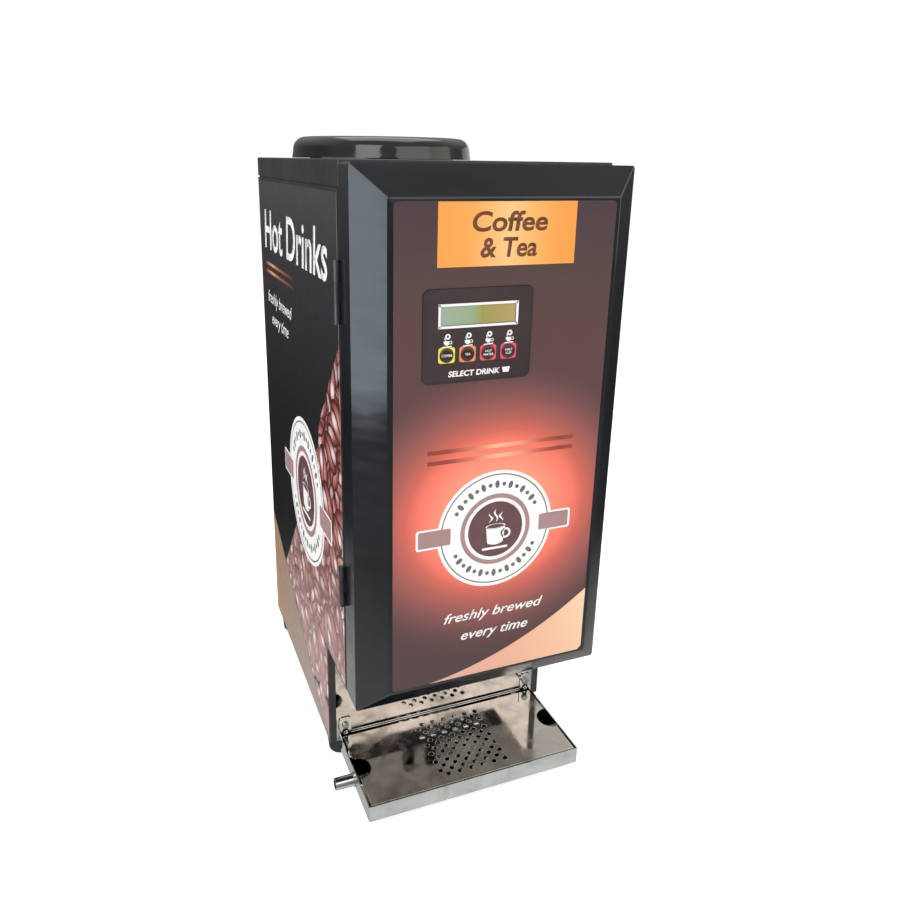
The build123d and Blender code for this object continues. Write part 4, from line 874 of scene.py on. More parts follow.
@dataclass
class Badge:
    """Round printed badge: a mug with steam inside rings, and a plain bar at each side."""

    press: Press
    at: tuple[float, float]
    radius: float = 55.5
    layer: int = 1

    def make(self) -> None:
        """Prints the whole badge."""
        unit = self.radius / 55.5
        self.bars(unit)
        self.print(disc(self.radius, steps=128), "badge_ground", WHITE_INK, 1)
        self.print(ring(0.945 * self.radius, 0.925 * self.radius), "badge_line", GREY_INK, 2)
        self.print(ring(0.61 * self.radius, 0.535 * self.radius), "badge_ring", ROSE_INK, 2)
        self.print(disc(0.475 * self.radius, steps=96), "badge_middle", DARK_INK, 2)
        self.beads()
        self.mug(unit)

    def print(self, shape: bpy.types.Object, name: str, finish: Finish, layer: int) -> None:
        """Presses one shape at the badge's middle."""
        self.press.press(shape, name, finish, self.layer + layer, self.at)

    def beads(self) -> None:
        """Ring of small beans between the two lines, above and below."""
        beans = []
        count = 15
        for start in (28.0, 208.0):
            for i in range(count):
                turn = math.radians(start + 124.0 * i / (count - 1))
                reach = 0.77 * self.radius
                size = 0.052 * self.radius if i % 2 else 0.034 * self.radius
                one = disc(size, steps=16)
                one.scale = (0.72, 1.25, 1) if i % 2 else (1, 1, 1)
                one.rotation_euler = (0, 0, turn - math.pi / 2)
                one.location = (reach * math.cos(turn) * MM, reach * math.sin(turn) * MM, 0)
                hold(one)
                bpy.ops.object.transform_apply(location=True, rotation=True, scale=True)
                beans.append(one)
        self.print(joined(beans), "badge_beads", GREY_INK, 2)

    def bars(self, unit: float) -> None:
        """Plain bar with a white edge behind each side of the disc."""
        reach = 61.0 * unit
        edges = [bar(28 * unit, 19 * unit, (side * reach, 0), 2.2 * unit) for side in (-1, 1)]
        self.print(joined(edges), "badge_bar_edges", WHITE_INK, 0)
        tucked = reach - 3.0 * unit
        fills = [bar(30.0 * unit, 15.5 * unit, (side * tucked, 0), 1.4 * unit) for side in (-1, 1)]
        self.print(joined(fills), "badge_bars", ROSE_INK, 3)

    def mug(self, unit: float) -> None:
        """Straight mug with a handle and three wisps of steam."""
        def cup_low(t: float) -> tuple[float, float]:
            """Returns the curve's point at this share of its length."""
            return ((-7.6 + 15.2 * t) * unit, (-13.0 - 2.0 * math.sin(math.pi * t)) * unit)

        def cup_high(t: float) -> tuple[float, float]:
            """Returns the curve's point at this share of its length."""
            return ((-9.2 + 18.4 * t) * unit, (2.6 - 1.6 * math.sin(math.pi * t)) * unit)

        wisps = []
        for number in (-1, 0, 1):
            def wisp(t: float, way: int, number: int = number) -> tuple[float, float]:
                """Returns the curve's point at this share of its length."""
                sway = 1.5 * math.sin(2 * math.pi * t + number)
                wide = 1.0 * math.sin(math.pi * min(max(t, 0.02), 0.98))
                tall = 12.5 if number == 0 else 9.0
                return ((number * 5.2 + sway + way * wide) * unit, (7.0 + tall * t) * unit)
            wisps.append(strip(lambda t, w=wisp: w(t, -1), lambda t, w=wisp: w(t, 1), 16))
        handle = ring(5.0 * unit, 3.1 * unit, (10.0 * unit, -5.0 * unit), 40)
        rim = ring(9.6 * unit, 8.2 * unit, (0, 0), 48)
        rim.scale = (1, 0.26, 1)
        rim.location = (0, 2.8 * unit * MM, 0)
        hold(rim)
        bpy.ops.object.transform_apply(location=True, rotation=True, scale=True)
        saucer = bar(25 * unit, 2.2 * unit, (0, -18.2 * unit), 1.0 * unit)
        pieces = [strip(cup_low, cup_high, 24), handle, rim, saucer, *wisps]
        self.print(joined(pieces), "badge_mug", WHITE_INK, 3)


# ---------------------------------------------------------------------------
# Door
# ---------------------------------------------------------------------------
@dataclass
class Door:
    """Door moulding with its bevelled frame and everything printed on its sheet."""

    inset: float = 24.4
    straight: float = 31.5 - 2.6
    wall: float = 2.0
    corner: float = 2.4
    keypad_window: tuple[float, float, float] = (88.5, 12.0, 68.8)
    header: tuple[float, float] = (121.0, 49.6)
    stripe: tuple[float, float] = (138.0, 3.6)
    stripe_z: tuple[float, float] = (388.5, 379.3)
    badge_x: float = -1.5
    badge_z: float = 310.0

    def make(self) -> None:
        """Builds the door's visible pieces."""
        self.moulding()
        self.print()

    def moulding(self) -> None:
        """Hollow moulding, open at the back: a box whose front is drawn in to the bevelled frame."""
        low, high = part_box("door_shell")
        size = (high - low) / MM
        middle = (high + low) / 2 / MM
        obj = block(size, middle)
        back = high.y
        front = low.y
        pick(obj, Pick.FACE, lambda m, n: n.y < -0.9)
        depth = size.y - self.straight
        bpy.ops.transform.translate(value=(0, depth * MM, 0))
        bpy.ops.mesh.extrude_region_move(TRANSFORM_OT_translate={"value": (0, -depth * MM, 0)})
        shrink = (1 - 2 * self.inset / size.x, 1, 1 - 2 * self.inset / size.z)
        bpy.ops.transform.resize(value=shrink, center_override=tuple(v * MM for v in middle))
        clear()
        pick(obj, Pick.FACE, lambda m, n: n.y > 0.9 and m.y > back - 1e-5)
        bpy.ops.mesh.delete(type="FACE")
        clear()
        tidy_mesh(obj, None)
        pick(obj, Pick.EDGE, lambda m, way: abs(way.y) > 0.3)
        bpy.ops.mesh.bevel(offset=self.corner * MM, segments=5, affect="EDGES", profile=0.5)
        clear()
        pick(obj, Pick.EDGE, lambda m, way: m.y < front + 1e-5 and abs(way.y) < 0.01)
        bpy.ops.mesh.bevel(offset=1.1 * MM, segments=3, affect="EDGES", profile=0.5)
        clear()
        modify(obj, "SOLIDIFY", thickness=self.wall * MM, offset=-1.0, use_even_offset=True)
        low_key, high_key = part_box("keypad_bezel")
        key = (high_key + low_key) / 2 / MM
        cutter = block(self.keypad_window, (key.x, front / MM, key.z))
        modify(obj, "BOOLEAN", operation="DIFFERENCE", object=cutter, solver="EXACT")
        bpy.data.objects.remove(cutter)
        tidy_mesh(obj, 30.0)
        settle(obj, "door_moulding", "door", DOOR_MOULDING, ["door_shell"])

    def print(self) -> None:
        """Header plate, stripes, badge, script lines and the corner sweep on the door's sheet."""
        low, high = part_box("front_graphic")
        press = Press(Side.FRONT, low.y / MM, "door", "printed_sheet", "door_print")
        x0, x1, z0, z1 = low.x / MM, high.x / MM, low.z / MM, high.z / MM
        orange = GradientInk("header_orange_ink", (-61.5, 0, z1 - 25), (59.5, 0, z1 - 30), (
            (0.0, "FBA046"), (0.22, "FEA650"), (0.5, "F8C684"), (0.7, "F9B25E"), (0.86, "FDA14A"),
            (1.0, "FB9E46")))
        press.press(bar(*self.header, (-1.0, z1 - 25.0)), "header", orange, 1)
        words = [lettering("Coffee", 21, (-0.75, z1 - 22.5), 0.12, 0.5, 66),
                 lettering("& Tea", 21, (-0.75, z1 - 42.5), 0.12, 0.5, 50)]
        press.press(joined(words), "header_words", BROWN_INK, 2)
        for number, z in enumerate(self.stripe_z):
            shine = GradientInk("stripe_ink", (-67, 0, 0), (71, 0, 0), (
                (0.0, "93432F"), (0.14, "984936"), (0.3, "DE7A60"), (0.48, "FFBC92"), (0.62, "FB9878"),
                (0.78, "B85C46"), (0.9, "93422F"), (1.0, "9A4A38")))
            press.press(bar(*self.stripe, (2, z)), f"stripe_{number + 1}", shine, 1)
        Badge(press, (self.badge_x, self.badge_z)).make()
        self.sweep(press, x0, x1, z0)
        lines = [lettering("freshly brewed", 13.5, (-1, 224.0), 0.35, 0.16, 100),
                 lettering("every time", 13.5, (1, 204.0), 0.35, 0.16, 68)]
        press.press(joined(lines), "script", WHITE_INK, 2)

    def sweep(self, press: Press, x0: float, x1: float, z0: float) -> None:
        """Pale corner of the sheet under a rising curve."""
        curve = arc_through((-62.0, z0), (20.0, z0 + 22.6), (x1, z0 + 67.0))
        radius = 3.8

        def foot(t: float) -> tuple[float, float]:
            """Returns the curve's point at this share of its length."""
            x = curve(t)[0]
            rise = radius - math.sqrt(max(radius ** 2 - max(x - (x1 - radius), 0) ** 2, 0))
            return (x, z0 + rise)
        corner = GradientInk("corner_sweep_ink", (x1, 0, z0 + 66), (-60, 0, z0), (
            (0.0, "F6D2AE"), (0.3, "F0BD98"), (0.6, "E6AE92"), (1.0, "DCA594")))
        press.press(strip(foot, curve, 40), "corner_sweep", corner, 1)


@dataclass
class Keypad:
    """Keypad: film border, display frame, icons, button frames and the four caps."""

    frames: tuple[tuple[str, str, tuple[str, ...]], ...] = (
        ("coffee", "E9E04A", ("COFFEE",)), ("tea", "F08A50", ("TEA",)),
        ("hot_water", "E8505C", ("HOT", "WATER")), ("half_cup", "E4486A", ("HALF", "CUP")))
    display: tuple[float, float] = (70.2, 19.6)
    display_z: float = 502.5
    icon_rise: float = 12.6
    line_z: float = 453.0

    def make(self) -> None:
        """Builds everything on the keypad."""
        low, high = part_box("keypad_bezel")
        press = Press(Side.FRONT, low.y / MM, "door", "keypad_black", "keypad")
        middle = ((low.x + high.x) / 2 / MM, (low.z + high.z) / 2 / MM)
        self.border(press, (high.x - low.x) / MM, (high.z - low.z) / MM, middle)
        self.display_frame(press)
        for name, colour, words in self.frames:
            self.button(press, name, colour, words)
        press.press(self.cup_line(middle[0]), "cup_line", WHITE_INK, 1, thickness=0.06)

    def border(self, press: Press, width: float, height: float, at: tuple[float, float]) -> None:
        """Raised edge of the keypad's window under the film."""
        outer = bar(width - 0.6, height - 0.6, at, 5.8)
        pick(outer, Pick.FACE, lambda m, n: True)
        bpy.ops.mesh.inset(thickness=0.9 * MM)
        bpy.ops.mesh.delete(type="FACE")
        clear()
        press.press(outer, "border", KEYPAD_FILM, 0, thickness=0.35)

    def display_frame(self, press: Press) -> None:
        """Thin white frame around the display's window."""
        low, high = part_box("lcd_module")
        middle_x = (low.x + high.x) / 2 / MM
        frame_edge = bar(*self.display, (middle_x, self.display_z), 0.5)
        pick(frame_edge, Pick.FACE, lambda m, n: True)
        bpy.ops.mesh.inset(thickness=2.0 * MM)
        bpy.ops.mesh.delete(type="FACE")
        clear()
        press.press(frame_edge, "display_frame", WHITE_INK, 1, thickness=0.12)

    def button(self, press: Press, name: str, colour: str, words: tuple[str, ...]) -> None:
        """One button: its printed frame and icon, its cap and the words on it."""
        low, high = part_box(f"{name}_button")
        x = (low.x + high.x) / 2 / MM
        z = (low.z + high.z) / 2 / MM
        edge = bar(14.4, 13.0, (x, z), 2.2)
        pick(edge, Pick.FACE, lambda m, n: True)
        bpy.ops.mesh.inset(thickness=0.65 * MM)
        clear()
        ink = PrintedInk(f"{name}_frame_ink", colour, colour)
        hole = disc(6.1, (x, z), 48)
        press.press(edge, f"{name}_frame", ink, 1)
        press.press(hole, f"{name}_well", PrintedInk("well_ink", "2A1C1C", "241818"), 2)
        self.icon(press, name, x, z + self.icon_rise)
        self.cap(name, x, z, low.y, words)

    def icon(self, press: Press, name: str, x: float, z: float) -> None:
        """Small cup with a bean over it."""
        def bowl_low(t: float) -> tuple[float, float]:
            """Returns the curve's point at this share of its length."""
            return (x - 2.6 + 5.2 * t, z - 3.0 - 1.6 * math.sin(math.pi * t))
        cup = strip(bowl_low, line((x - 2.8, z - 1.0), (x + 2.8, z - 1.0)), 12)
        handle = ring(1.4, 0.8, (x + 3.2, z - 2.3), 20)
        saucer = bar(8.6, 0.9, (x, z - 5.6), 0.4, 4)
        bean = ring(2.3, 1.0, (x + 0.8, z + 2.6), 28)
        wisp = bar(0.8, 2.6, (x - 1.6, z + 0.6), 0.35, 20)
        press.press(joined([cup, handle, saucer, bean, wisp]), f"{name}_icon", WHITE_INK, 1)

    def cup_line(self, x: float) -> bpy.types.Object:
        """Line of generic words under the buttons, with a small cup at its end."""
        words = lettering("SELECT DRINK", 6.4, (x - 3, self.line_z), 0.12, 0.22, 46)
        foot, rim = self.line_z + 0.2, self.line_z + 4.6
        cup = strip(line((x + 23.5, foot), (x + 28.5, foot)), line((x + 22.5, rim), (x + 29.5, rim)), 6)
        return joined([words, cup])

    def cap(self, name: str, x: float, z: float, front: float, words: tuple[str, ...]) -> None:
        """Domed cap of a button, with its stem, in place of the plain one."""
        low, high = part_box(f"{name}_button")
        depth = (high.y - low.y) / MM
        profile = [(0, 0), (4.0, 0.0), (5.0, -0.22), (5.5, -0.7), (5.6, -1.9), (7.0, -2.0), (7.0, -3.1),
                   (1.7, -3.2), (1.7, -depth), (0, -depth)]
        obj = spun(profile, (0, 0), 48)
        obj.rotation_euler = (math.radians(90), 0, 0)
        obj.location = (x * MM, front, z * MM)
        hold(obj)
        bpy.ops.object.transform_apply(location=True, rotation=True, scale=True)
        tidy_mesh(obj, 40.0)
        body = f"{name}_key"
        settle(obj, f"{name}_cap", body, BUTTON_MOULDING, [f"{name}_button"])
        press = Press(Side.FRONT, front / MM + 0.01, body, "button_black", name)
        gap = 2.9
        rows = [lettering(word, 2.7, (x, z - 1.0 + gap * ((len(words) - 1) / 2 - i)), 0.0, 0.05)
                for i, word in enumerate(words)]
        press.press(joined(rows), "cap_words", WHITE_INK, thickness=0.02)


# ---------------------------------------------------------------------------
# Side prints
# ---------------------------------------------------------------------------
@dataclass
class SideArt:
    """Printed vinyl of one side: dark ground over beans, badge, words and the pale corner."""

    side: Side
    node: str
    prefix: str
    corner_from: float = 225.0
    bean: tuple[float, float] = (21.0, 15.0)
    spacing: float = 18.5
    overlap: float = 50.0
    rise: float = 0.012
    seed: int = 7

    def make(self) -> None:
        """Prints the whole side."""
        low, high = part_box(self.node)
        self.back = high.y / MM
        self.front = low.y / MM
        self.foot = low.z / MM
        self.top = high.z / MM
        surface = (low.x if self.side is Side.LEFT else high.x) / MM
        self.press = Press(self.side, surface, "cabinet", "printed_vinyl", self.prefix)
        self.step_y = self.front + 70.7
        self.step_z = self.foot + 117.5
        self.beans()
        self.ground()
        self.corner()
        self.words()
        Badge(self.press, (self.u(self.front + 147.0), self.foot + 258.0), 80.0, 4).make()

    def u(self, y: float) -> float:
        """Turns a depth in the machine into a place along the print."""
        return -y if self.side is Side.LEFT else y

    def edge(self, depth: float) -> float:
        """Height over the foot of the line where the dark ground ends, at a depth behind the front."""
        points = ((0.0, 452.0), (53.0, 388.0), (79.0, 357.0), (94.0, 318.0), (227.0, 167.0),
                  (274.0, 112.0), (354.0, 20.0))
        for (d0, h0), (d1, h1) in zip(points, points[1:]):
            if depth <= d1:
                return h0 + (h1 - h0) * (depth - d0) / (d1 - d0)
        return points[-1][1]

    def ground(self) -> None:
        """Dark upper part of the print, and a painted highlight along its front edge."""
        depth = self.back - self.front

        def low(t: float) -> tuple[float, float]:
            """Returns the curve's point at this share of its length."""
            return (self.u(self.front + depth * t), self.foot + self.edge(depth * t))

        def high(t: float) -> tuple[float, float]:
            """Returns the curve's point at this share of its length."""
            return (self.u(self.front + depth * t), self.top)
        finish = GradientInk(f"{self.prefix}_charcoal_ink", (0, 0, self.top), (0, 0, self.foot + 120), (
            (0.0, "423F3F"), (0.16, "302E31"), (0.3, "29272A"), (0.5, "201E21"), (0.75, "151416"),
            (1.0, "100E10")))
        self.press.press(strip(low, high, 36), "ground", finish, 3)
        # Painted highlight: a pale 0.8 mm line along the vinyl's front edge, where the panel's edge catches
        # the light.
        edge = bar(0.8, self.top - self.step_z, (self.u(self.front + 0.5), (self.top + self.step_z) / 2))
        self.press.press(edge, "cut_edge", PAINTED_EDGE_HIGHLIGHT, 6)

    def corner(self) -> None:
        """Pale lower corner at the back, with thin lines that follow its edge."""
        curve = arc_through(
            (self.u(self.back), self.foot + 146.0), (self.u(self.front + 219.0), self.foot + 75.5),
            (self.u(self.front + 76.0), self.foot))

        def foot(t: float) -> tuple[float, float]:
            """Returns the curve's point at this share of its length."""
            return (curve(t)[0], self.foot)
        fade_end = (0, self.back - 220, self.foot)
        finish = GradientInk(f"{self.prefix}_beige_ink", (0, self.back, self.foot), fade_end, (
            (0.0, "B08C6A"), (0.5, "A48A76"), (1.0, "9C8882")))
        self.press.press(strip(foot, curve, 40), "corner", finish, 4)
        for number in range(4):
            drop = 20.0 + 15.0 * number

            def upper(t: float, drop: float = drop) -> tuple[float, float]:
                """Returns the curve's point at this share of its length."""
                x, z = curve(0.04 + 0.5 * t)
                return (x, max(z - drop, self.foot + 1.2))

            def lower(t: float, drop: float = drop) -> tuple[float, float]:
                """Returns the curve's point at this share of its length."""
                x, z = upper(t, drop)
                return (x, z - 1.1)
            line_ink = PrintedInk("faded_line_ink", "9C8670", "AD977F")
            self.press.press(strip(lower, upper, 24), f"corner_line_{number + 1}", line_ink, 5)

    def words(self) -> None:
        """White title, two lines under it and the pair of glowing stripes."""
        middle = self.front + 182.0
        title = lettering("Hot Drinks", 62, (self.u(middle), self.foot + 497.0), 0.12, 0.9, 292)
        self.press.press(title, "title", WHITE_INK, 5)
        near = self.front + 257.0
        lines = [lettering("freshly brewed", 20, (self.u(near), self.foot + 434.0), 0.35, 0.1, 132),
                 lettering("every time", 20, (self.u(near), self.foot + 410.0), 0.35, 0.1, 92)]
        self.press.press(joined(lines), "script", WHITE_INK, 5)
        for number, drop in enumerate((0.0, 9.0)):
            lit, dim = self.front + 326.0, self.front + 168.0
            glow = GradientInk(f"{self.prefix}_stripe_ink", (0, lit, 0), (0, dim, 0), (
                (0.0, "5A3A28"), (0.25, "F0A878"), (0.5, "A8603C"), (1.0, "33282A")))
            shape = bar(lit - dim, 3.4, (self.u((lit + dim) / 2), self.foot + 479.0 - drop))
            self.press.press(shape, f"stripe_{number + 1}", glow, 5)

    def beans(self) -> None:
        """Heap of beans under the dark ground's edge, cut off along the panel's edges."""
        rng = random.Random(self.seed)
        spots: list[tuple[float, float]] = []
        tries = 9000
        for _ in range(tries):
            depth = rng.uniform(-4.0, self.back - self.front)
            height = rng.uniform(-4.0, 455.0)
            inside = height < self.edge(max(depth, 0.0)) + 9.0
            on_panel = height > self.step_z - self.foot - 6.0 or depth > self.step_y - self.front - 6.0
            under_corner = depth > self.corner_from and height < 130.0 - (354.0 - depth) * 0.62
            if not (inside and on_panel) or under_corner:
                continue
            if all((depth - d) ** 2 + (height - h) ** 2 > self.spacing ** 2 for d, h in spots):
                spots.append((depth, height))
        levels = self.levels(spots)
        pattern = self.bean_shape()
        groups: dict[str, list[bpy.types.Object]] = {"upper": [], "toe": [], "lower": []}
        for number, (depth, height) in enumerate(spots):
            one = pattern.copy()
            one.data = pattern.data.copy()
            bpy.context.collection.objects.link(one)
            tone = one.data.attributes["tone"].data
            shade = rng.uniform(0.0, 0.55)
            for value in tone:
                value.value = shade
            grow = rng.uniform(0.85, 1.2)
            one.scale = (grow, grow * rng.uniform(0.85, 1.1), 1)
            one.rotation_euler = (0, 0, rng.uniform(0, math.tau))
            spot = Vector((self.u(self.front + depth), self.foot + height, levels[number] * self.rise))
            one.location = spot * MM
            clear_step = height > self.step_z - self.foot + 15.0
            near_toe = depth < self.step_y - self.front
            groups["upper" if clear_step else "toe" if near_toe else "lower"].append(one)
        bpy.data.objects.remove(pattern)
        for name, members in groups.items():
            if members:
                self.clip(members, name)

    def levels(self, spots: Sequence[tuple[float, float]]) -> list[int]:
        """Returns each bean's level in the heap: the lowest that no bean it may cover has."""
        levels: list[int] = []
        for number, (depth, height) in enumerate(spots):
            taken = {levels[i] for i, (d, h) in enumerate(spots[:number])
                     if (depth - d) ** 2 + (height - h) ** 2 < self.overlap ** 2}
            levels.append(min(set(range(len(taken) + 1)) - taken))
        return levels

    def bean_shape(self) -> bpy.types.Object:
        """Returns one flat bean with its own map, from -1 to 1 across, and a tone."""
        obj = disc(1.0, steps=14)
        mesh = obj.data
        bean_map = mesh.uv_layers.new(name="bean")
        for loop in mesh.loops:
            x, y, _ = mesh.vertices[loop.vertex_index].co / MM
            bean_map.data[loop.index].uv = (x, y)
        mesh.attributes.new("tone", "FLOAT", "POINT")
        obj.scale = (self.bean[1], self.bean[0], 1)
        hold(obj)
        bpy.ops.object.transform_apply(location=True, rotation=True, scale=True)
        return obj

    def clip(self, members: list[bpy.types.Object], name: str) -> None:
        """Joins beans, cuts them off at the panel's edges and presses them on."""
        hold(*members)
        bpy.ops.object.transform_apply(location=True, rotation=True, scale=True)
        heap = joined(members)
        front_u = self.u(self.front)
        way = 1 if self.side is Side.LEFT else -1
        cuts = [((front_u, 0), (way, 0)), ((0, self.foot), (0, -1))]
        if name == "toe":
            cuts = [((front_u, 0), (way, 0)), ((0, self.step_z), (0, -1))]
        if name == "lower":
            cuts.append(((self.u(self.step_y), 0), (way, 0)))
        for (x, z), (nx, nz) in cuts:
            hold(heap)
            bpy.ops.object.mode_set(mode="EDIT")
            bpy.ops.mesh.select_all(action="SELECT")
            bpy.ops.mesh.bisect(
                plane_co=(x * MM, z * MM, 0), plane_no=(nx, nz, 0), clear_outer=True, use_fill=False)
            clear()
        self.press.press(heap, f"beans_{name}", RoastedBean(), 0, thickness=0.03)


# ---------------------------------------------------------------------------
# Top, tray and small parts
# ---------------------------------------------------------------------------
@dataclass
class RoundLid:
    """Water tank's lid: a turned cap with a rolled shoulder, a shallow well on top, a seal ring below."""

    wall: float = 2.5
    shoulder: float = 13.0

    def make(self) -> None:
        """Builds the lid in place of the plain one."""
        low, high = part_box("tank_lid")
        radius = (high.x - low.x) / 2 / MM
        x = (high.x + low.x) / 2 / MM
        y = (high.y + low.y) / 2 / MM
        top = high.z / MM
        foot = top - 21.7
        ring_foot = low.z / MM
        arc = [(radius - 1.2 - self.shoulder * (1 - math.cos(a)), top - self.shoulder * (1 - math.sin(a)))
               for a in (math.radians(d) for d in range(0, 91, 9))]
        inner = radius - self.wall
        well = 78.0
        profile = [
            (0, top - 0.9), (well - 2.0, top - 0.9), (well, top - 0.5), (well + 2.0, top),
            *reversed(arc), (radius - 0.4, foot + 3.0), (radius, foot + 1.2), (radius, foot), (inner, foot),
            (inner - 1.0, top - 9.0), (inner - 9.0, top - self.wall), (78.8, top - self.wall),
            (78.8, ring_foot + 0.6), (78.2, ring_foot), (77.4, ring_foot), (77.2, top - self.wall),
            (0, top - self.wall),
        ]
        obj = spun(profile, (x, y), 128)
        tidy_mesh(obj, 40.0)
        settle(obj, "round_lid_cap", "round_lid", LID_MOULDING, ["tank_lid"])


@dataclass
class CoverHoles:
    """Rolled rims around the tray cover's drain holes, which catch the light."""

    radius: float = 2.6
    pitch: float = 12.7
    columns: int = 12
    first_x: float = -33.0
    middle_y: float = -138.5

    def make(self) -> None:
        """Copies one rim to every hole."""
        low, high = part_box("tray_cover")
        top = high.z / MM
        clear()
        bpy.ops.mesh.primitive_torus_add(major_radius=(self.radius + 0.3) * MM, minor_radius=0.3 * MM,
                                         major_segments=18, minor_segments=6, location=(0, 0, 0))
        pattern = bpy.context.object
        pattern.scale = (1, 1, 0.55)
        bpy.ops.object.transform_apply(location=True, rotation=True, scale=True)
        rims = []
        for column in range(self.columns):
            count = 6 + column % 2
            for row in range(count):
                one = pattern.copy()
                one.data = pattern.data.copy()
                bpy.context.collection.objects.link(one)
                x = self.first_x + column * self.pitch / 2
                y = self.middle_y + (row - (count - 1) / 2) * self.pitch
                one.location = (x * MM, y * MM, (top - 0.02) * MM)
                rims.append(one)
        bpy.data.objects.remove(pattern)
        hold(*rims)
        bpy.ops.object.transform_apply(location=True, rotation=True, scale=True)
        obj = joined(rims)
        tidy_mesh(obj, 60.0)
        settle(obj, "tray_cover_hole_rims", "tray_cover_plate", MIRROR)


@dataclass
class FrameDress:
    """Gives every CAD part that stays its material."""

    finishes: dict[str, Finish] = field(default_factory=lambda: {
        "side_panel_left": POWDER, "side_panel_right": POWDER, "top_cover": POWDER,
        "door_striker": SCREW_PLATE, "base_pan": GALVANISED, "bulkhead": GALVANISED,
        "tank_shelf": GALVANISED, "canister_shelf": GALVANISED, "door_liner": GALVANISED,
        "hinge_leaves_cabinet": PAINTED_LIGHT_HINGE_COAT, "hinge_leaves_door": POWDER, "back_panel": BACK_POWDER,
        "splash_panel": SPLASH_MIRROR, "tray_pan": MIRROR, "tray_cover": COVER_MIRROR,
        "bay_ceiling": MIRROR, "water_tank": TANK_STEEL, "heater_element": TANK_STEEL,
        "level_rod": TANK_STEEL, "feet": RUBBER, "panel_screws": SCREW_PLATE,
        "tray_hook_screws": SCREW_PLATE, "hinge_pins": SCREW_PLATE, "lock_barrel": CHROME,
        "lock_cam": CHROME, "keypad_bezel": KEYPAD_FILM, "keypad_board": BOARD, "control_board": BOARD,
        "temperature_sensor": BRASS, "water_valves": BRASS, "level_float": NATURAL_ACETAL,
        "hoses": SILICONE, "canister_left": CANISTER_CLEAR, "canister_right": CANISTER_CLEAR,
        "mixing_bowl_left": BOWL_PLASTIC, "mixing_bowl_right": BOWL_PLASTIC,
        "canister_lid_left": BROWN_PLASTIC, "canister_lid_right": BROWN_PLASTIC,
        "nozzle_block": BROWN_PLASTIC, "auger_left": NATURAL_ACETAL, "auger_right": NATURAL_ACETAL,
        "whipper_left": NATURAL_ACETAL, "whipper_right": NATURAL_ACETAL, "auger_motors": MOTOR_CAN,
        "whipper_motors": MOTOR_CAN, "power_supply": SUPPLY_CASE, "fan_frame": BLACK_PLASTIC,
        "fan_rotor": BLACK_PLASTIC, "power_inlet": BLACK_PLASTIC, "rocker": BLACK_PLASTIC,
    })

    def make(self) -> None:
        """Assigns the materials."""
        finishes = dict(self.finishes)
        finishes["front_graphic"] = DoorPrint()
        low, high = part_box("lcd_module")
        finishes["lcd_module"] = DisplayGlass(x0=(low.x + high.x) / 2 / MM)
        for node in ("side_graphic_left", "side_graphic_right"):
            finishes[node] = PrintedInk("bean_gap_ink", "2A0E10", "1E0A0C")
        for node, finish in finishes.items():
            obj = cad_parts[node]
            obj.data.materials.clear()
            obj.data.materials.append(finish.material())
            LOG.info("%s is %s", node, finish.name)


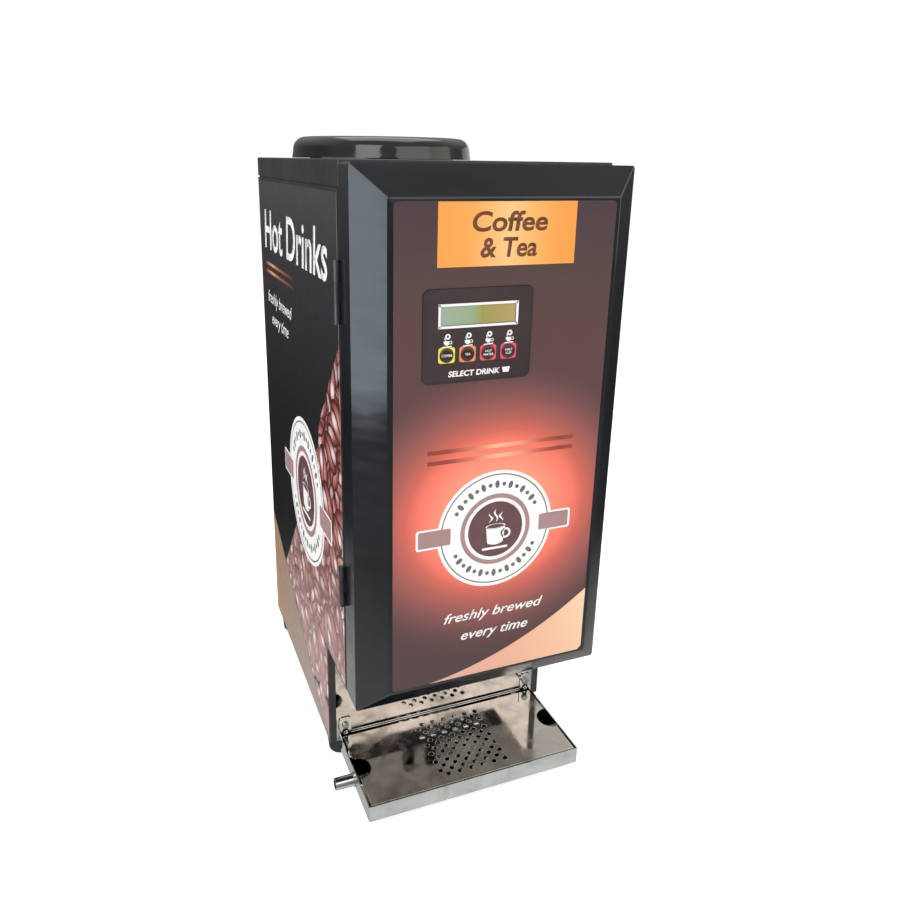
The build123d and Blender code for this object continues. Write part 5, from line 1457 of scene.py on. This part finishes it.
# ---------------------------------------------------------------------------
# Studio
# ---------------------------------------------------------------------------
@dataclass
class Studio:
    """Pale floor, soft lights and the camera."""

    place: tuple[float, float, float] = (-0.2901, -0.7677, 0.6202)
    azimuth: float = -21.46
    elevation: float = 17.03
    roll: float = 0.85
    lens: float = 31.39
    shift: tuple[float, float] = (0.0272, -0.0556)

    def make(self) -> None:
        """Sets the camera, the lights, the world and the floor."""
        self.camera()
        self.lights()
        self.floor()

    def camera(self) -> None:
        """Camera at the customer's left, a little above the door."""
        a, e, r = (math.radians(v) for v in (self.azimuth, self.elevation, self.roll))
        back = Vector((math.sin(a) * math.cos(e), -math.cos(a) * math.cos(e), math.sin(e)))
        right = Vector((0, 0, 1)).cross(back).normalized()
        up = back.cross(right)
        turned = (right * math.cos(r) + up * math.sin(r), up * math.cos(r) - right * math.sin(r), back)
        clear()
        bpy.ops.object.camera_add()
        cam = bpy.context.object
        pose = Matrix(turned).transposed().to_4x4()
        pose.translation = Vector(self.place)
        cam.matrix_world = pose
        cam.data.lens = self.lens
        cam.data.sensor_width = 36
        cam.data.shift_x, cam.data.shift_y = self.shift
        cam.data.clip_start = 0.01
        bpy.context.scene.camera = cam

    def lights(self) -> None:
        """Pale surroundings with large soft lamps."""
        scene = bpy.context.scene
        scene.view_settings.view_transform = "Standard"
        world = bpy.data.worlds.new("studio")
        scene.world = world
        world.use_nodes = True
        tree = world.node_tree
        shown = tree.nodes["Background"]
        shown.inputs[0].default_value = srgb("FFFFFF")
        shown.inputs[1].default_value = 1.05
        room = add(tree, "Background", {0: self.room(tree)})
        seen = add(tree, "LightPath")
        both = add(tree, "MixShader",
                   {0: seen.outputs["Is Camera Ray"], 1: room.outputs[0], 2: shown.outputs[0]})
        tree.links.new(both.outputs[0], tree.nodes["World Output"].inputs[0])
        self.lamp("key", (-1.5, -2.0, 1.7), (1.5, 1.5), 20, "FFFFFF")
        self.lamp("left_wall", (-1.6, -0.2, 0.35), (1.0, 0.9), 6, "EEF3FF")
        self.lamp("left_card", (-0.70, -0.54, 0.47), (0.42, 0.5), 2.8, "D8E6F4", False)
        self.lamp("right_card", (0.72, 0.62, 0.58), (0.7, 0.4), 0.5, "FBFBFF", False)
        self.lamp("right_low_card", (0.72, 0.62, -0.1), (0.7, 0.9), 0.22, "FFD0B0", False)
        self.lamp("front_card", (0.36, -0.85, 0.88), (0.8, 0.5), 1.9, "FFF9F4", False)
        self.lamp("top", (0.2, 0.4, 2.2), (1.6, 1.6), 14, "FFFFFF")
        self.lamp("right_fill", (1.8, -0.9, 0.9), (1.2, 1.2), 5, "FFF4E8")

    @staticmethod
    def room(tree: bpy.types.NodeTree) -> bpy.types.NodeSocket:
        """Returns the room's colour: pale in front of the machine, dim behind it, pale again low down."""
        coords = add(tree, "TexCoord")
        split = add(tree, "SeparateXYZ", {0: coords.outputs["Generated"]})
        height = add(tree, "MapRange", {0: split.outputs[2], 1: -1.0, 2: 1.0})
        behind = ramp(tree, height.outputs[0], (
            (0.0, "B4B0AC"), (0.2, "C8C8C6"), (0.24, "949494"), (0.275, "3A3A3C"), (0.35, "2C2A2A"),
            (0.45, "504E4E"), (0.5, "6A6866"), (0.65, "949290"), (0.8, "D8D6D2"), (1.0, "E4E4E2")))
        before = ramp(tree, height.outputs[0], (
            (0.0, "DADADA"), (0.17, "E8E8E8"), (0.24, "9A9A9C"), (0.5, "88898C"), (0.65, "BCBDC0"),
            (1.0, "BCBDC0")))
        turn = add(tree, "MapRange", {0: split.outputs[1], 1: -0.3, 2: 0.35},
                   interpolation_type="SMOOTHSTEP")
        return add(tree, "MixRGB", {0: turn.outputs[0], 1: before, 2: behind}).outputs[0]

    def lamp(self, name: str, at: tuple[float, float, float], size: tuple[float, float], power: float,
             colour: str, lit: bool = True) -> None:
        """Adds a soft box that faces the machine's middle; an unlit one only shows in polished surfaces."""
        clear()
        bpy.ops.object.light_add(type="AREA", location=at)
        lamp = bpy.context.object
        lamp.name = f"lamp_{name}"
        lamp.data.shape = "RECTANGLE"
        lamp.data.size, lamp.data.size_y = size
        lamp.data.energy = power
        lamp.data.color = srgb(colour)[:3]
        lamp.visible_camera = False
        lamp.visible_diffuse = lit
        lamp.rotation_euler = (Vector((0, 0, 0.35)) - Vector(at)).to_track_quat("-Z", "Y").to_euler()

    def floor(self) -> None:
        """Large flat floor."""
        clear()
        bpy.ops.mesh.primitive_grid_add(x_subdivisions=8, y_subdivisions=8, size=12, location=(0, 0, 0))
        floor = bpy.context.object
        floor.name = "studio_floor"
        floor.data.materials.append(StudioFloor().material())
        floor.visible_glossy = False


def main() -> None:
    """Builds the machine's shown pieces and the studio around it."""
    logging.basicConfig(level=logging.INFO, format="%(name)s: %(message)s")
    Studio().make()
    FrameDress().make()
    Door().make()
    Keypad().make()
    SideArt(Side.LEFT, "side_graphic_left", "left_print").make()
    SideArt(Side.RIGHT, "side_graphic_right", "right_print").make()
    RoundLid().make()
    CoverHoles().make()
    clear()


if __name__ == "__main__":
    main()
